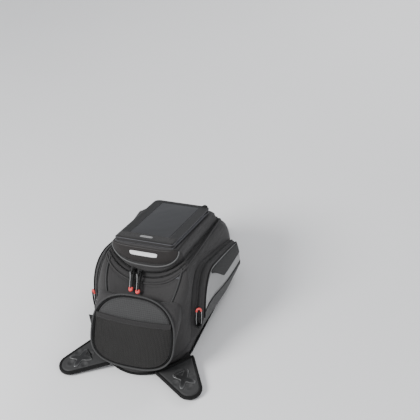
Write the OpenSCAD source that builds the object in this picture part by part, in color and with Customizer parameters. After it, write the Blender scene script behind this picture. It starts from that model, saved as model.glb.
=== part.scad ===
// Motorcycle tank bag with a hinged lid, a phone holder, zipped pockets and four magnet flaps.
// X is the rider's right, Y points to the windscreen and Z is up. The base stands on Z = 0.

/* [Base] */
// Half width of the base at the rider's end
base_near_half = 80; // [76:1:84]
// Half width of the base at the windscreen end
base_far_half = 84; // [80:1:88]
// Distance from the middle of the base to each end
base_half_length = 157; // [150:1:162]
// Thickness of the non-slip pad under the base
pad_thick = 3; // [2:0.5:4]

/* [Lid] */
// Height of the lid at its rider's end
lid_near_height = 190; // [182:1:194]
// Fall of the lid's top for each millimetre towards the windscreen
lid_slope = 0.32; // [0.3:0.01:0.34]
// Thickness of the padded fabric walls
wall = 4; // [3:0.5:5]
// Radius of the round zip line across the rider's end
zip_radius = 85; // [80:1:90]

/* [Phone holder] */
// Width of the holder plate
holder_width = 108; // [100:1:112]
// Length of the holder plate
holder_length = 178; // [165:1:180]
// Depth of the slot that takes a phone
slot_depth = 6.2; // [5.8:0.2:7]

/* [Front pocket] */
// Half width of the front pocket
pocket_half = 76; // [70:1:78]
// How far the front pocket's face is crowned
pocket_crown = 5; // [2:1:8]

/* [Side pockets] */
// How far a side pocket stands off the body
side_depth = 15; // [10:1:17]

/* [Flaps] */
// Length of a rear magnet flap from its root
rear_length = 83; // [78:1:87]
// Width of a rear magnet flap at its root
rear_width = 74; // [68:1:76]
// Length of a front magnet flap from its root
front_length = 73; // [68:1:77]
// Width of a front magnet flap at its root
front_width = 56; // [52:1:58]
// Radius of a magnet flap's tip
flap_tip = 22; // [20:1:24]
// Radius of the magnet inside a flap
magnet_radius = 16; // [10:1:18]

/* [Hidden] */

gap = 0.5; // clear space between pieces that lie on each other
far_y = base_half_length;
near_y = -base_half_length;

// The drawing frame has its origin in the middle of the base. The part's origin is in the
// middle of its whole outline, flaps included, so every node is moved by this.
rear_reach = 192.2;
front_reach = 238.6;
origin = [0, (rear_reach - front_reach) / 2, 0];

function mix(a, b, t) = a + (b - a) * t;
function unit(v) = v / norm(v);
function bend(a, b, c, t, pull = 1) =
    let (i = (1 - t) * (1 - t), j = 2 * pull * t * (1 - t), k = t * t) (a * i + b * j + c * k) / (i + j + k);
function side_of(u) = u < 0 ? -1 : 1;
function clamp(v, low, high) = max(low, min(high, v));

// ---- Levels -------------------------------------------------------------------------------
// A level is a closed line round the bag. Its place u runs from 0 at the middle of the rider's
// end, 1 to 2 along the side, 3 past the far corner and 4 at the middle of the far end.
// A negative u is the left half. A level is [near point, side start, side end, far point, power].
function level(L, u) =
    let (q = abs(u), a = L[0], b = L[1], c = L[2], d = L[3], p = L[4],
         s = sin(90 * min(q, 1)), k = cos(90 * min(q, 1)),
         f = 90 * (q - 2),
         right =
            q <= 1 ? [b[0] * pow(s, p), b[1] + (a[1] - b[1]) * pow(k, p), a[2] + (b[2] - a[2]) * s * s]
            : q <= 2 ? mix(b, c, q - 1)
            : q <= 3 ? [d[0] + (c[0] - d[0]) * cos(f), c[1] + (d[1] - c[1]) * sin(f),
                        mix(c[2], d[2], (q - 2))]
            : [d[0] * (4 - q), d[1], d[2]])
    [side_of(u) * right[0], right[1], right[2]];

function lid_z(y) = lid_near_height - lid_slope * (y + 38);

base_level = [[0, near_y, 0], [base_near_half, -83, 0], [base_far_half, far_y - 27, 0],
    [62, far_y, 0], 1.08];
waist_level = [[0, -125, 85], [base_near_half + 10, -60, 140], [base_far_half + 8, 112, 142],
    [68, 153, 92], 0.85];
lid_waist = [[0, -45, 165], [65, -22, 178], [66, 121, 138], [50, 145, 127], 0.6];
lid_top = [[0, -34, lid_z(-34)], [57, -25, lid_z(-25)], [58, 120, lid_z(120)],
    [48, 136, lid_z(136)], 0.5];

// The zip line is an arc in a leaning plane across the rider's end, then runs up both sides.
zip_low = [0, -45, 135];
zip_lean = 54.8;
zip_sweep = 52;
zip_up = [0, cos(zip_lean), sin(zip_lean)];
zip_out = [0, -sin(zip_lean), cos(zip_lean)];
zip_centre = zip_low + zip_radius * zip_up;
function zip_arc(angle, out = 0, up = 0) =
    let (r = zip_radius - up)
    zip_centre + [r * sin(angle), 0, 0] - r * cos(angle) * zip_up + out * zip_out;
zip_side = zip_arc(zip_sweep);
zip_level = [zip_low, zip_side, [68, 122, 121], [50, 140, 116], 1];
function zip_line(u) = abs(u) <= 1 ? zip_arc(u * zip_sweep) : level(zip_level, u);

// A level drawn inwards by d and raised by h.
function inset(L, d, h) = [L[0] + [0, d, h], L[1] + [-d, 0, h], L[2] + [-d, 0, h],
    L[3] + [-d / 2, -d, h], L[4]];
function zip_inset(u, d) =
    let (p = zip_line(u), c = [0, clamp(p[1], 0, 90), p[2]])
    p + unit([c[0] - p[0], c[1] - p[1], 0]) * d;

// The body's outer surface, from the base at t = 0 to the zip line at t = 1. Its shoulder is
// squarer along the sides than across the ends.
side_pull = 0.8;
far_pull = 0.3;
function shoulder(u) = let (q = abs(u)) 1 + (q <= 1 ? side_pull * pow(sin(90 * q), 2)
    : q <= 2 ? side_pull : mix(side_pull, far_pull, min(1, q - 2)));
function body_raw(u, t) = bend(level(base_level, u) + [0, 0, pad_thick], level(waist_level, u),
    zip_line(u), t, shoulder(u));
function body_out(u, t) =
    let (e = 0.01,
         along = body_raw(u + e, t) - body_raw(u - e, t),
         up = body_raw(u, min(t + e, 1)) - body_raw(u, max(t - e, 0)))
    unit(cross(along, up));
function body_at(u, t, h = 0) = body_raw(u, t) + (h == 0 ? [0, 0, 0] : h * body_out(u, t));
function body_inner(u, t) = bend(level(inset(base_level, wall, pad_thick + inner_lift), u),
    level(inset(waist_level, wall, 0), u), zip_inset(u, wall), t, shoulder(u));

// The lid's outer wall, from the zip line at t = 0 to the edge of its flat top at t = 1.
lid_gap = 1.2;
function on_top(p, drop = 0) = [p[0], p[1], lid_z(p[1]) - drop];
function lid_raw(u, t) = bend(zip_line(u) + [0, 0, lid_gap], level(lid_waist, u),
    on_top(level(lid_top, u)), t);
function lid_out(u, t) =
    let (e = 0.01,
         along = lid_raw(u + e, t) - lid_raw(u - e, t),
         up = lid_raw(u, min(t + e, 1)) - lid_raw(u, max(t - e, 0)))
    unit(cross(along, up));
function lid_at(u, t, h = 0) = lid_raw(u, t) + (h == 0 ? [0, 0, 0] : h * lid_out(u, t));
function lid_inner(u, t) = bend(zip_inset(u, wall) + [0, 0, lid_gap],
    level(inset(lid_waist, wall, -1), u), on_top(level(inset(lid_top, wall, 0), u), wall), t);
function lid_spine(p) = on_top([0, clamp(p[1], 5, 95)]);

// ---- Solids from rings, grids and paths ------------------------------------------------------
// Where the points of a ring lie round the bag, closer together at the corners.
ring_places = [for (i = [0:7]) i / 8, for (i = [0:6]) 1 + i / 7, for (i = [0:3]) 2 + i / 4, 3, 3.5, 4,
    -3.5, for (i = [0:4]) -3 + i / 4, for (i = [1:7]) -2 + i / 7, for (i = [1:7]) -1 + i / 8];

// A closed solid between two poles, through rings that all have the same number of points.
module skin(rings, first, last) {
    n = len(rings[0]);
    m = len(rings);
    points = [first, last, for (r = rings) each r];
    function at(k, i) = 2 + k * n + i % n;
    faces = [
        for (i = [0:n - 1]) [0, at(0, i + 1), at(0, i)],
        for (k = [0:m - 2], i = [0:n - 1]) each [
            [at(k, i), at(k, i + 1), at(k + 1, i)],
            [at(k, i + 1), at(k + 1, i + 1), at(k + 1, i)]
        ],
        for (i = [0:n - 1]) [1, at(m - 1, i), at(m - 1, i + 1)]
    ];
    polyhedron(points, faces);
}

// A closed slab between an outer and an inner grid of points.
module slab(outer, inner) {
    n = len(outer);
    m = len(outer[0]);
    points = [for (r = outer) each r, for (r = inner) each r];
    function o(i, j) = i * m + j;
    function b(i, j) = n * m + i * m + j;
    faces = [
        for (i = [0:n - 2], j = [0:m - 2]) each [
            [o(i, j), o(i, j + 1), o(i + 1, j)], [o(i, j + 1), o(i + 1, j + 1), o(i + 1, j)],
            [b(i, j), b(i + 1, j), b(i, j + 1)], [b(i, j + 1), b(i + 1, j), b(i + 1, j + 1)]
        ],
        for (i = [0:n - 2]) each [
            [o(i, 0), o(i + 1, 0), b(i, 0)], [o(i + 1, 0), b(i + 1, 0), b(i, 0)],
            [o(i, m - 1), b(i, m - 1), o(i + 1, m - 1)], [o(i + 1, m - 1), b(i, m - 1), b(i + 1, m - 1)]
        ],
        for (j = [0:m - 2]) each [
            [o(0, j), b(0, j), o(0, j + 1)], [o(0, j + 1), b(0, j), b(0, j + 1)],
            [o(n - 1, j), o(n - 1, j + 1), b(n - 1, j)], [o(n - 1, j + 1), b(n - 1, j + 1), b(n - 1, j)]
        ]
    ];
    polyhedron(points, faces);
}

// A round tube along a path. The path never runs along the given up direction.
module tube(path, r, up, closed = false, sides = 8) {
    n = len(path);
    rings = [for (i = [0:n - 1])
        let (before = closed ? path[(i + n - 1) % n] : path[max(i - 1, 0)],
             after = closed ? path[(i + 1) % n] : path[min(i + 1, n - 1)],
             t = unit(after - before), s = unit(cross(t, up)), w = cross(s, t))
        [for (j = [0:sides - 1]) path[i] + r * (cos(360 * j / sides) * s + sin(360 * j / sides) * w)]];
    function at(i, j) = (i % n) * sides + j % sides;
    faces = [
        for (i = [0:closed ? n - 1 : n - 2], j = [0:sides - 1]) each [
            [at(i, j), at(i, j + 1), at(i + 1, j)], [at(i, j + 1), at(i + 1, j + 1), at(i + 1, j)]
        ],
        if (!closed) [for (j = [0:sides - 1]) at(0, sides - 1 - j)],
        if (!closed) [for (j = [0:sides - 1]) at(n - 1, j)]
    ];
    polyhedron([for (r = rings) each r], faces);
}

module placed(c) {
    color(c) translate(origin) children();
}

module on_side(s) {
    if (s < 0) mirror([1, 0, 0]) children();
    else children();
}

// ---- Base and body -----------------------------------------------------------------------------
fabric = "#454545";
trim_black = "#1c1c1c";
piping_grey = "#6d6d6d";
red = "#e0504f";

board_lift = 6;
board_thick = 2.5;

pad_inset = 2;
board_inset = 9;

function outline_points(d) = [for (u = ring_places)
    let (p = level(inset(base_level, d, 0), u)) [p[0], p[1]]];

module base_pad() {
    placed("#2b2b2b") linear_extrude(pad_thick - 0.2) polygon(outline_points(pad_inset));
}

module base_board() {
    placed("#333333") translate([0, 0, board_lift]) linear_extrude(board_thick)
        polygon(outline_points(board_inset));
}

welt_radius = 2;
welt_off = 0.9;
welt_height = pad_thick + 1;

module base_welt() {
    placed(trim_black) tube([for (u = ring_places)
        let (p = level(inset(base_level, -welt_radius - welt_off, 0), u)) p + [0, 0, welt_height]],
        welt_radius, [0, 0, 1], true);
}

inner_lift = 1.5; // thickness of the body's floor
body_steps = [0, 0.1, 0.22, 0.36, 0.5, 0.64, 0.76, 0.88, 1];

module body_shell() {
    steps = len(body_steps) - 1;
    placed(fabric) skin([
        for (t = body_steps) [for (u = ring_places) body_inner(u, t)],
        for (k = [0:steps]) [for (u = ring_places) body_raw(u, body_steps[steps - k])]
    ], [0, 0, pad_thick + inner_lift], [0, 0, pad_thick]);
}

track_radius = 1.3;
track_off = 1.9;
track_end = 2.5;
// The two tracks lie closest across the rider's end and part along the sides.
function spread(u) = clamp(abs(u) - 1, 0, 1);
function body_track(u) = mix(0.957, 0.932, spread(u));
function lid_track(u) = mix(0.045, 0.1, spread(u));
track_places = [for (i = [-20:20]) i / 20 * track_end];

module body_zip() {
    placed(trim_black) tube([for (u = track_places) body_at(u, body_track(u), track_off)],
        track_radius, [0, 0, 1]);
}

piping_radius = 1.4;
seam_low = [0.622, 0.7];
seam_high = [0.897, 0.935];

module seam_piping(s) {
    placed(piping_grey) on_side(s) tube([for (i = [0:12])
        let (w = mix(seam_low, seam_high, i / 12)) body_at(w[0], w[1], piping_radius + 0.4)],
        piping_radius, [1, 0, 0]);
}

module seam_piping_left() { seam_piping(-1); }
module seam_piping_right() { seam_piping(1); }

// ---- Front pocket -----------------------------------------------------------------------------
// The pocket's face is a leaning rounded shape. Its place is a (angle round) and r (0 middle, 1 edge).
face_foot = [0, -161, 20];
face_lean = 58;
face_up = [0, cos(face_lean), sin(face_lean)];
face_out = [0, -sin(face_lean), cos(face_lean)];
face_mid = 52;
face_low = 52;
face_high = 73;
function rounded(v, n) = side_of(v) * pow(abs(v), 2 / n);
function face_plane(a, r) = [pocket_half * rounded(cos(a), 2.6) * r,
    face_mid + (sin(a) < 0 ? face_low * rounded(sin(a), 2.8) : face_high * rounded(sin(a), 2.6)) * r];
function face_point(w, h) =
    let (x = w[0] / pocket_half, y = (w[1] - face_mid) / (w[1] < face_mid ? face_low : face_high),
         crown = pocket_crown * max(0, 1 - pow(abs(x), 2.4)) * max(0, 1 - pow(abs(y), 2.4)))
    face_foot + [w[0], 0, 0] + w[1] * face_up + (crown + h) * face_out;
function face_at(a, r, h = 0) = face_point(face_plane(a, r), h);
// Where the pocket is sewn to the body.
foot_half = 0.74;
foot_gap = 0.9;
foot_mid = 0.4;
foot_low = 0.27;
foot_high = 0.34;
function foot_at(a, r) = body_at(foot_half * rounded(cos(a), 2.4) * r,
    foot_mid + (sin(a) < 0 ? foot_low : foot_high) * rounded(sin(a), 2.4) * r, foot_gap);

face_angles = [for (i = [0:31]) i * 360 / 32 + 1];

module front_pocket() {
    placed("#565656") skin([
        for (r = [0.3, 0.6, 0.85, 1]) [for (a = face_angles) face_at(a, r)],
        [for (a = face_angles) mix(face_at(a, 1), foot_at(a, 1), 0.5) + 2 * face_out],
        for (r = [1, 0.8, 0.6, 0.4, 0.2]) [for (a = face_angles) foot_at(a, r)]
    ], face_at(0, 0), foot_at(0, 0));
}

edge_piping = 1.6;

module front_pocket_piping() {
    placed(piping_grey) tube([for (i = [0:47]) face_at(i * 7.5 + 1, 1.015, edge_piping + 0.9)], edge_piping,
        face_out, true);
}

// The mesh covers the face below a gently curved line. Its hem stands on that line.
mesh_line = 86;
mesh_sag = 3;
mesh_edge = 0.93;
mesh_off = 0.5;
mesh_thick = 0.8;
hem_width = 9;
hem_thick = 1.2;
function mesh_top(x) = mesh_line - mesh_sag * (1 - x * x);
function face_low_at(x) = face_mid - face_low * mesh_edge * pow(max(0, 1 - pow(abs(x), 2.8)), 1 / 2.8);
function mesh_point(x, y, h) =
    let (low = face_low_at(x), high = mesh_top(x))
    face_point([x * pocket_half * mesh_edge, mix(low, high, y)], h);
mesh_x = [for (i = [0:14]) 0.985 * sin(-90 + i * 180 / 14)];

mesh_y = [for (j = [0:5]) j / 5 * 0.9];

module front_mesh() {
    placed("#383536") slab([for (x = mesh_x) [for (y = mesh_y) mesh_point(x, y, mesh_off + mesh_thick)]],
        [for (x = mesh_x) [for (y = mesh_y) mesh_point(x, y, mesh_off)]]);
}

function hem_point(x, y, h) = face_point([x * pocket_half * 0.9,
    mesh_top(x) - hem_width / 2 + hem_width * (y - 0.5) + 2], h);

module front_mesh_hem() {
    low = mesh_off + mesh_thick + 0.3;
    placed("#3a3a3a") slab([for (x = mesh_x) [for (y = [0, 0.5, 1]) hem_point(x, y, low + hem_thick)]],
        [for (x = mesh_x) [for (y = [0, 0.5, 1]) hem_point(x, y, low)]]);
}

// ---- Side pockets ------------------------------------------------------------------------------
// A place on a side pocket is a (0 near end, 1 far end) and b (0 bottom, 1 top edge).
sewn_near = 0.985;
sewn_far = 2.1;
sewn_top = 0.877;
sewn_fall = 0.75;
sewn_rise = 0.33;
face_near = 1.06;
face_far = 2.06;
face_top = 0.752;
face_fall = 0.695;
face_rise = 0.36;
pocket_foot = 0.04;
side_taper = 0.6;
side_crown = 4;
function arch(a, rise, fall) = (1 - fall * a) * sqrt(1 - pow(1 - min(a / rise, 1), 2));
function sewn_point(a, b) = body_at(mix(sewn_near, sewn_far, a),
    pocket_foot + b * (sewn_top * arch(a, sewn_rise, sewn_fall) - pocket_foot), gap);
function panel_depth(a, b) =
    mix(mix(3, side_depth + 1, min(1, a / side_taper)), mix(side_depth + 4, side_depth - 2, a),
        sqrt(max(0, b)))
    + side_crown * pow(max(0, sin(180 * clamp(a, 0, 1))), 0.7) * max(0, sin(180 * clamp(b, 0, 1)));
function panel_point(a, b, h = 0) = body_at(mix(face_near, face_far, a),
    pocket_foot + b * (face_top * arch(a, face_rise, face_fall) - pocket_foot), gap)
    + (panel_depth(a, b) + h) * [1, 0, 0];
side_a = [for (i = [0:16]) pow(i / 16, 1.5) * 0.985 + 0.01];
side_b = [0, 0.2, 0.4, 0.6, 0.8, 1];

module side_pocket(s) {
    placed(fabric) on_side(s) slab(
        [for (a = side_a) [for (b = side_b) panel_point(a, b)]],
        [for (a = side_a) [for (b = side_b) sewn_point(a, b)]]);
}

module side_pocket_left() { side_pocket(-1); }
module side_pocket_right() { side_pocket(1); }

skin_thick = 1;
panel_high = 0.9;
function panel_low(a) = mix(0.3, 0.1, a);

module side_panel(s) {
    function place(a, j, h) = panel_point(a, mix(panel_low(a), panel_high, j / 4), h);
    places = [for (i = [0:12]) mix(0.03, 0.96, i / 12)];
    placed("#909090") on_side(s) slab(
        [for (a = places) [for (j = [0:4]) place(a, j, gap + skin_thick)]],
        [for (a = places) [for (j = [0:4]) place(a, j, gap)]]);
}

module side_panel_left() { side_panel(-1); }
module side_panel_right() { side_panel(1); }

patch_near = 0.24;
patch_knee = 0.5;
patch_high = 0.895;
function patch_low(a) = a < patch_knee ? mix(0.86, 0.41, (a - patch_near) / (patch_knee - patch_near))
    : mix(0.41, 0.45, (a - patch_knee) / (1 - patch_knee));

module side_patch(s) {
    function place(a, j, h) = panel_point(a, mix(patch_low(a), patch_high, j / 3), h);
    places = [for (i = [0:10]) mix(patch_near, 0.95, i / 10)];
    low = 2 * gap + skin_thick;
    placed("#3e3e3e") on_side(s) slab(
        [for (a = places) [for (j = [0:3]) place(a, j, low + skin_thick)]],
        [for (a = places) [for (j = [0:3]) place(a, j, low)]]);
}

module side_patch_left() { side_patch(-1); }
module side_patch_right() { side_patch(1); }

side_piping_radius = 1.4;

module side_piping(s) {
    placed(trim_black) on_side(s) tube([for (i = [0:22])
        let (a = pow(i / 22, 1.8) * 0.97 + 0.01) panel_point(a, 1) + [side_piping_radius + 0.6, 0, 0]],
        side_piping_radius, [1, 0, 0]);
}

module side_piping_left() { side_piping(-1); }
module side_piping_right() { side_piping(1); }

// The pocket's zip runs along the middle of its gusset.
coil_radius = 1.3;
coil_off = 0.85;
function gusset_out(a) =
    let (e = 0.003, along = gusset_raw(a + e) - gusset_raw(a - e),
         across = panel_point(a, 1) - sewn_point(a, 1))
    unit(cross(across, along));
function gusset_raw(a) = mix(sewn_point(a, 1), panel_point(a, 1), 0.5);
function gusset_at(a, h) = gusset_raw(a) + h * gusset_out(a);

module side_zip(s) {
    placed(trim_black) on_side(s) tube([for (i = [0:22])
        gusset_at(pow(i / 22, 1.8) * 0.93 + 0.004, coil_radius + coil_off)], coil_radius, [1, 0, 0]);
}

module side_zip_left() { side_zip(-1); }
module side_zip_right() { side_zip(1); }

// ---- Zip sliders and pulls -----------------------------------------------------------------------
// A slider's own frame has the pull's hinge line along X and its outward side along Z.
slider_size = [8, 8, 2];
bridge_post = 1.1;
bridge_open = [4.6, 3.4];
bridge_width = 2;
bridge_roof = 1.2;
pull_height = slider_size[2] + bridge_open[1] / 2;

module slider_solid() {
    translate([-slider_size[0] / 2, -slider_size[1] / 2, 0]) cube(slider_size);
    for (s = [-1, 1])
        translate([-bridge_width / 2, s * (bridge_open[0] + bridge_post) / 2 - bridge_post / 2,
            slider_size[2] - 0.1])
            cube([bridge_width, bridge_post, bridge_open[1] + 0.2]);
    translate([-bridge_width / 2, -bridge_open[0] / 2 - bridge_post, slider_size[2] + bridge_open[1]])
        cube([bridge_width, bridge_open[0] + 2 * bridge_post, bridge_roof]);
}

// A pull is a cord loop through the bridge, with a moulded end, lying along -Y.
pull_cord = 1.1;
pull_eye = 3; // length of the loop's square end at the bridge
pull_corner = [0.8, 1.8];
pull_half = 3.65;
pull_length = 38;
tip_radius = 1.6;
tip_length = 9;

module pull_solid() {
    straight = pull_length - tip_length;
    tip_end = -pull_length + tip_radius + pull_half;
    color("#8a8a8a") tube([[-pull_half, -straight, 0], [-pull_half, -pull_eye, 0],
        [-pull_half + pull_corner[0], -pull_corner[0], 0], [-pull_half + pull_corner[1], 0, 0],
        [pull_half - pull_corner[1], 0, 0], [pull_half - pull_corner[0], -pull_corner[0], 0],
        [pull_half, -pull_eye, 0], [pull_half, -straight, 0]], pull_cord, [0, 0, 1]);
    color(red) tube([[-pull_half, -straight - 0.1, 0], for (i = [0:8])
        [-pull_half * cos(180 * i / 8), tip_end - pull_half * sin(180 * i / 8), 0],
        [pull_half, -straight - 0.1, 0]], tip_radius, [0, 0, 1]);
}

module in_frame(p, x, y, z) {
    multmatrix([[x[0], y[0], z[0], p[0]], [x[1], y[1], z[1], p[1]], [x[2], y[2], z[2], p[2]], [0, 0, 0, 1]])
        children();
}

slider_off = 5.3; // height of a main slider above the zip line
left_slider_angle = -15;
right_slider_angle = -6;
pull_lean = 37; // slope of a hanging main pull
pull_yaw = 10.5; // turn of a hanging main pull towards the rider's right
pull_x = [cos(pull_yaw), sin(pull_yaw), 0];
pull_y = [-sin(pull_yaw) * cos(pull_lean), cos(pull_yaw) * cos(pull_lean), sin(pull_lean)];
function slider_tangent(angle) = cos(angle) * [1, 0, 0] + sin(angle) * zip_up;

module zip_slider(angle) {
    x = slider_tangent(angle);
    placed(trim_black) in_frame(zip_arc(angle, slider_off), x, cross(zip_out, x), zip_out) slider_solid();
}

module zip_pull(angle) {
    translate(origin) in_frame(zip_arc(angle, slider_off + pull_height), pull_x, pull_y,
        cross(pull_x, pull_y)) pull_solid();
}

module zip_slider_left() { zip_slider(left_slider_angle); }
module zip_slider_right() { zip_slider(right_slider_angle); }
module zip_pull_left() { zip_pull(left_slider_angle); }
module zip_pull_right() { zip_pull(right_slider_angle); }

side_slider_place = 0.005;
side_slider_off = 3.5;
side_z = gusset_out(side_slider_place);
side_y0 = unit(gusset_raw(side_slider_place + 0.003) - gusset_raw(side_slider_place - 0.003));
side_x = unit(cross(side_y0, side_z));
side_y = cross(side_z, side_x);
side_p = gusset_at(side_slider_place, side_slider_off);

module side_slider(s) {
    placed(trim_black) on_side(s) in_frame(side_p, side_x, side_y, side_z) slider_solid();
}

module side_pull(s) {
    translate(origin) on_side(s) in_frame(side_p + pull_height * side_z, -side_x, -side_y, side_z)
        pull_solid();
}

module side_slider_left() { side_slider(-1); }
module side_slider_right() { side_slider(1); }
module side_pull_left() { side_pull(-1); }
module side_pull_right() { side_pull(1); }

// A blank woven label sewn into the seam beside the left pocket.
tag_place = [-85.9, -104, 54];
tag_size = [19, 1.2, 30];

module side_tag() {
    placed(trim_black) translate(tag_place) cube(tag_size, center = true);
}

// ---- Lid -------------------------------------------------------------------------------------------
lid_middle = [0, 50, 0];
top_step = 0.6;
lid_steps = [0, 0.15, 0.35, 0.55, 0.75, 0.9, 1];

module lid_shell() {
    steps = len(lid_steps) - 1;
    function top_ring(k, drop) = [for (u = ring_places)
        let (p = on_top(level(lid_top, u))) mix(p, lid_spine(p), k) - [0, 0, drop]];
    placed(fabric) skin([
        top_ring(top_step, 0),
        for (k = [0:steps]) [for (u = ring_places) lid_raw(u, lid_steps[steps - k])],
        for (t = lid_steps) [for (u = ring_places) lid_inner(u, t)],
        top_ring(top_step, wall)
    ], on_top(lid_middle), on_top(lid_middle, wall));
}

front_span = 0.86;
front_high = 0.9;
front_trim = 0.09; // how far the piping lies below the panel's lower edge
function front_low(u) = 0.38 + 0.34 * pow(abs(u) / front_span, 5);

module lid_front_panel() {
    function place(u, j, h) = lid_at(u, mix(front_low(u), front_high, j / 4), h);
    places = [for (i = [-12:12]) front_span * sin(90 * i / 12)];
    placed("#1f1c1b") slab(
        [for (u = places) [for (j = [0:4]) place(u, j, gap + skin_thick)]],
        [for (u = places) [for (j = [0:4]) place(u, j, gap)]]);
}

module lid_piping() {
    places = [for (i = [-16:16]) i / 16];
    placed(piping_grey) tube([for (k = places)
        let (u = 1.06 * front_span * sin(90 * k), low = front_low(u) - front_trim)
        lid_at(u, low, piping_radius + 0.5)], piping_radius, [0, -1, 0.7]);
}

emblem_half = 0.145;
emblem_low = 0.63;
emblem_high = 0.78;

module lid_emblem() {
    places = [for (i = [-4:4]) i / 4 * emblem_half];
    low = 2 * gap + skin_thick;
    placed("#d8d8d8") slab(
        [for (u = places) [for (t = [emblem_low, emblem_high]) lid_at(u, t, low + 0.8)]],
        [for (u = places) [for (t = [emblem_low, emblem_high]) lid_at(u, t, low)]]);
}

module lid_zip() {
    placed(trim_black) tube([for (u = track_places) lid_at(u, lid_track(u), track_off)],
        track_radius, [0, 0, 1]);
}

lid_axis = [0, 141.5, 116.6]; // a point of the line the lid turns on
lid_strip_size = [76, 1, 13];
lid_strip_corner = lid_axis + [-lid_strip_size[0] / 2, 1.9, -6.6];

module lid_hinge_strip() {
    placed(fabric) translate(lid_strip_corner) cube(lid_strip_size);
}

// ---- Phone holder --------------------------------------------------------------------------------
lid_angle = atan(lid_slope);
holder_lift = 0.8;
sheet = 1.2;
holder_y = 134;
holder_axis = [0, holder_y, lid_z(holder_y)] + holder_lift * [0, sin(lid_angle), cos(lid_angle)];
window_width = 74;
window_length = 150;
window_near = -159; // near edge of the window from the holder's far edge

module in_holder(z) {
    translate(holder_axis) rotate([-lid_angle, 0, 0]) translate([0, 0, z]) children();
}

// The plate's outline, with rounder corners at its far edge.
module holder_outline(d) {
    far_round = 10 - d / 2;
    near_round = 4;
    w = holder_width / 2 - d;
    l = holder_length - d;
    translate([-w, -l + near_round]) square([2 * w, l - near_round - far_round - d]);
    translate([-w + near_round, -l]) square([2 * (w - near_round), near_round + 1]);
    translate([-w + far_round, -far_round - d - 1]) square([2 * (w - far_round), far_round + 1]);
    for (s = [-1, 1]) {
        translate([s * (w - near_round), -l + near_round]) circle(near_round, $fn = 32);
        translate([s * (w - far_round), -far_round - d]) circle(far_round, $fn = 32);
    }
}

pad_places = [-45, -130];
pad_size = [60, 16];

module holder_pads() {
    placed(trim_black) for (y = pad_places)
        in_holder(-holder_lift + 0.1) translate([0, y]) linear_extrude(0.5) square(pad_size, center = true);
}

module holder_back() {
    placed("#2c2c2c") in_holder(0) linear_extrude(sheet) holder_outline(0);
}

edge_width = 7;

module holder_edge() {
    placed("#2c2c2c") in_holder(sheet + 0.05) linear_extrude(slot_depth - 0.1) difference() {
        holder_outline(0.4);
        holder_outline(edge_width);
        translate([0, -holder_length + 2 * edge_width])
            square([holder_width, holder_length - 4 * edge_width]);
    }
}

module window_outline(d) {
    translate([-window_width / 2 + d, window_near + d])
        square([window_width - 2 * d, window_length - 2 * d]);
}

module holder_frame() {
    placed("#303030") in_holder(sheet + slot_depth) linear_extrude(sheet) difference() {
        holder_outline(0);
        window_outline(0);
    }
}

module holder_window() {
    placed("#15171a") in_holder(sheet + slot_depth + 0.1) linear_extrude(sheet - 0.3) window_outline(0.2);
}

band_depth = 24;

module holder_band() {
    placed("#3a3a3a") in_holder(2 * sheet + slot_depth + 0.1) linear_extrude(0.7)
        translate([-holder_width / 2 + 2, -holder_length + 1]) square([holder_width - 4, band_depth]);
}

holder_strip_size = [60, 0.8, 5];

module holder_hinge_strip() {
    placed(fabric) in_holder(0) translate([-holder_strip_size[0] / 2, 0.7, 0]) cube(holder_strip_size);
}

// ---- Magnet flaps ----------------------------------------------------------------------------------
// A flap's own frame has X outwards from the middle of its root, and the hinge line along Y.
flap_thick = 8;
binding_width = 5;
binding_extra = 0.5;
flap_droop = 4;
flap_height = 11.2; // height of the flap's middle at its root
// A flap is [middle of its root, turn of its outward line about Z, length, root width, side].
rear_right = [[67, -127.9, flap_height], -44, rear_length, rear_width, 1];
rear_left = [[67, -127.9, flap_height], -44, rear_length, rear_width, -1];
front_right = [[30.5, 166.2, flap_height], 98, front_length, front_width, 1];
front_left = [[30.5, 166.2, flap_height], 98, front_length, front_width, -1];

module flap_outline(f, d) {
    straight = f[2] - flap_tip;
    taper = asin((f[3] / 2 - flap_tip) / straight);
    r = flap_tip - d;
    root = f[3] / 2 - d;
    polygon([[d, -root], for (i = [0:24])
        let (a = mix(-90 + taper, 90 - taper, i / 24)) [straight + r * cos(a), r * sin(a)],
        [d, root]]);
}

module in_flap(f) {
    on_side(f[4]) translate(f[0]) rotate([0, 0, f[1]]) rotate([0, flap_droop, 0]) children();
}

function magnet_place(f) = f[2] / 2;
magnet_thick = 4;

module flap_pad(f) {
    placed("#3c3c3c") in_flap(f) difference() {
        translate([0, 0, -flap_thick / 2]) linear_extrude(flap_thick) flap_outline(f, binding_width + 0.2);
        translate([magnet_place(f), 0, -magnet_thick / 2 - 0.3])
            cylinder(r = magnet_radius + 0.3, h = magnet_thick + 0.6, $fn = 64);
    }
}

module flap_binding(f) {
    placed(trim_black) in_flap(f)
        translate([0, 0, -flap_thick / 2 - binding_extra / 2]) linear_extrude(flap_thick + binding_extra)
            difference() {
                flap_outline(f, 0);
                flap_outline(f, binding_width);
            }
}

module flap_magnet(f) {
    placed("#9a9a9a") in_flap(f) translate([magnet_place(f), 0, -magnet_thick / 2])
        cylinder(r = magnet_radius, h = magnet_thick, $fn = 64);
}

// A raised cross with hollow sides, moulded over the magnet.
ridge_arm = 24;
ridge_waist = 9;
ridge_height = 2;
ridge_squash = 0.82;

module flap_ridge(f) {
    placed("#303030") in_flap(f) translate([magnet_place(f), 0, flap_thick / 2 + 0.1])
        linear_extrude(ridge_height) polygon([for (i = [0:71])
            let (a = i * 5, reach = ridge_waist + (ridge_arm - ridge_waist) * pow(abs(sin(2 * a)), 3))
            [reach * cos(a), ridge_squash * reach * sin(a)]]);
}

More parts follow.
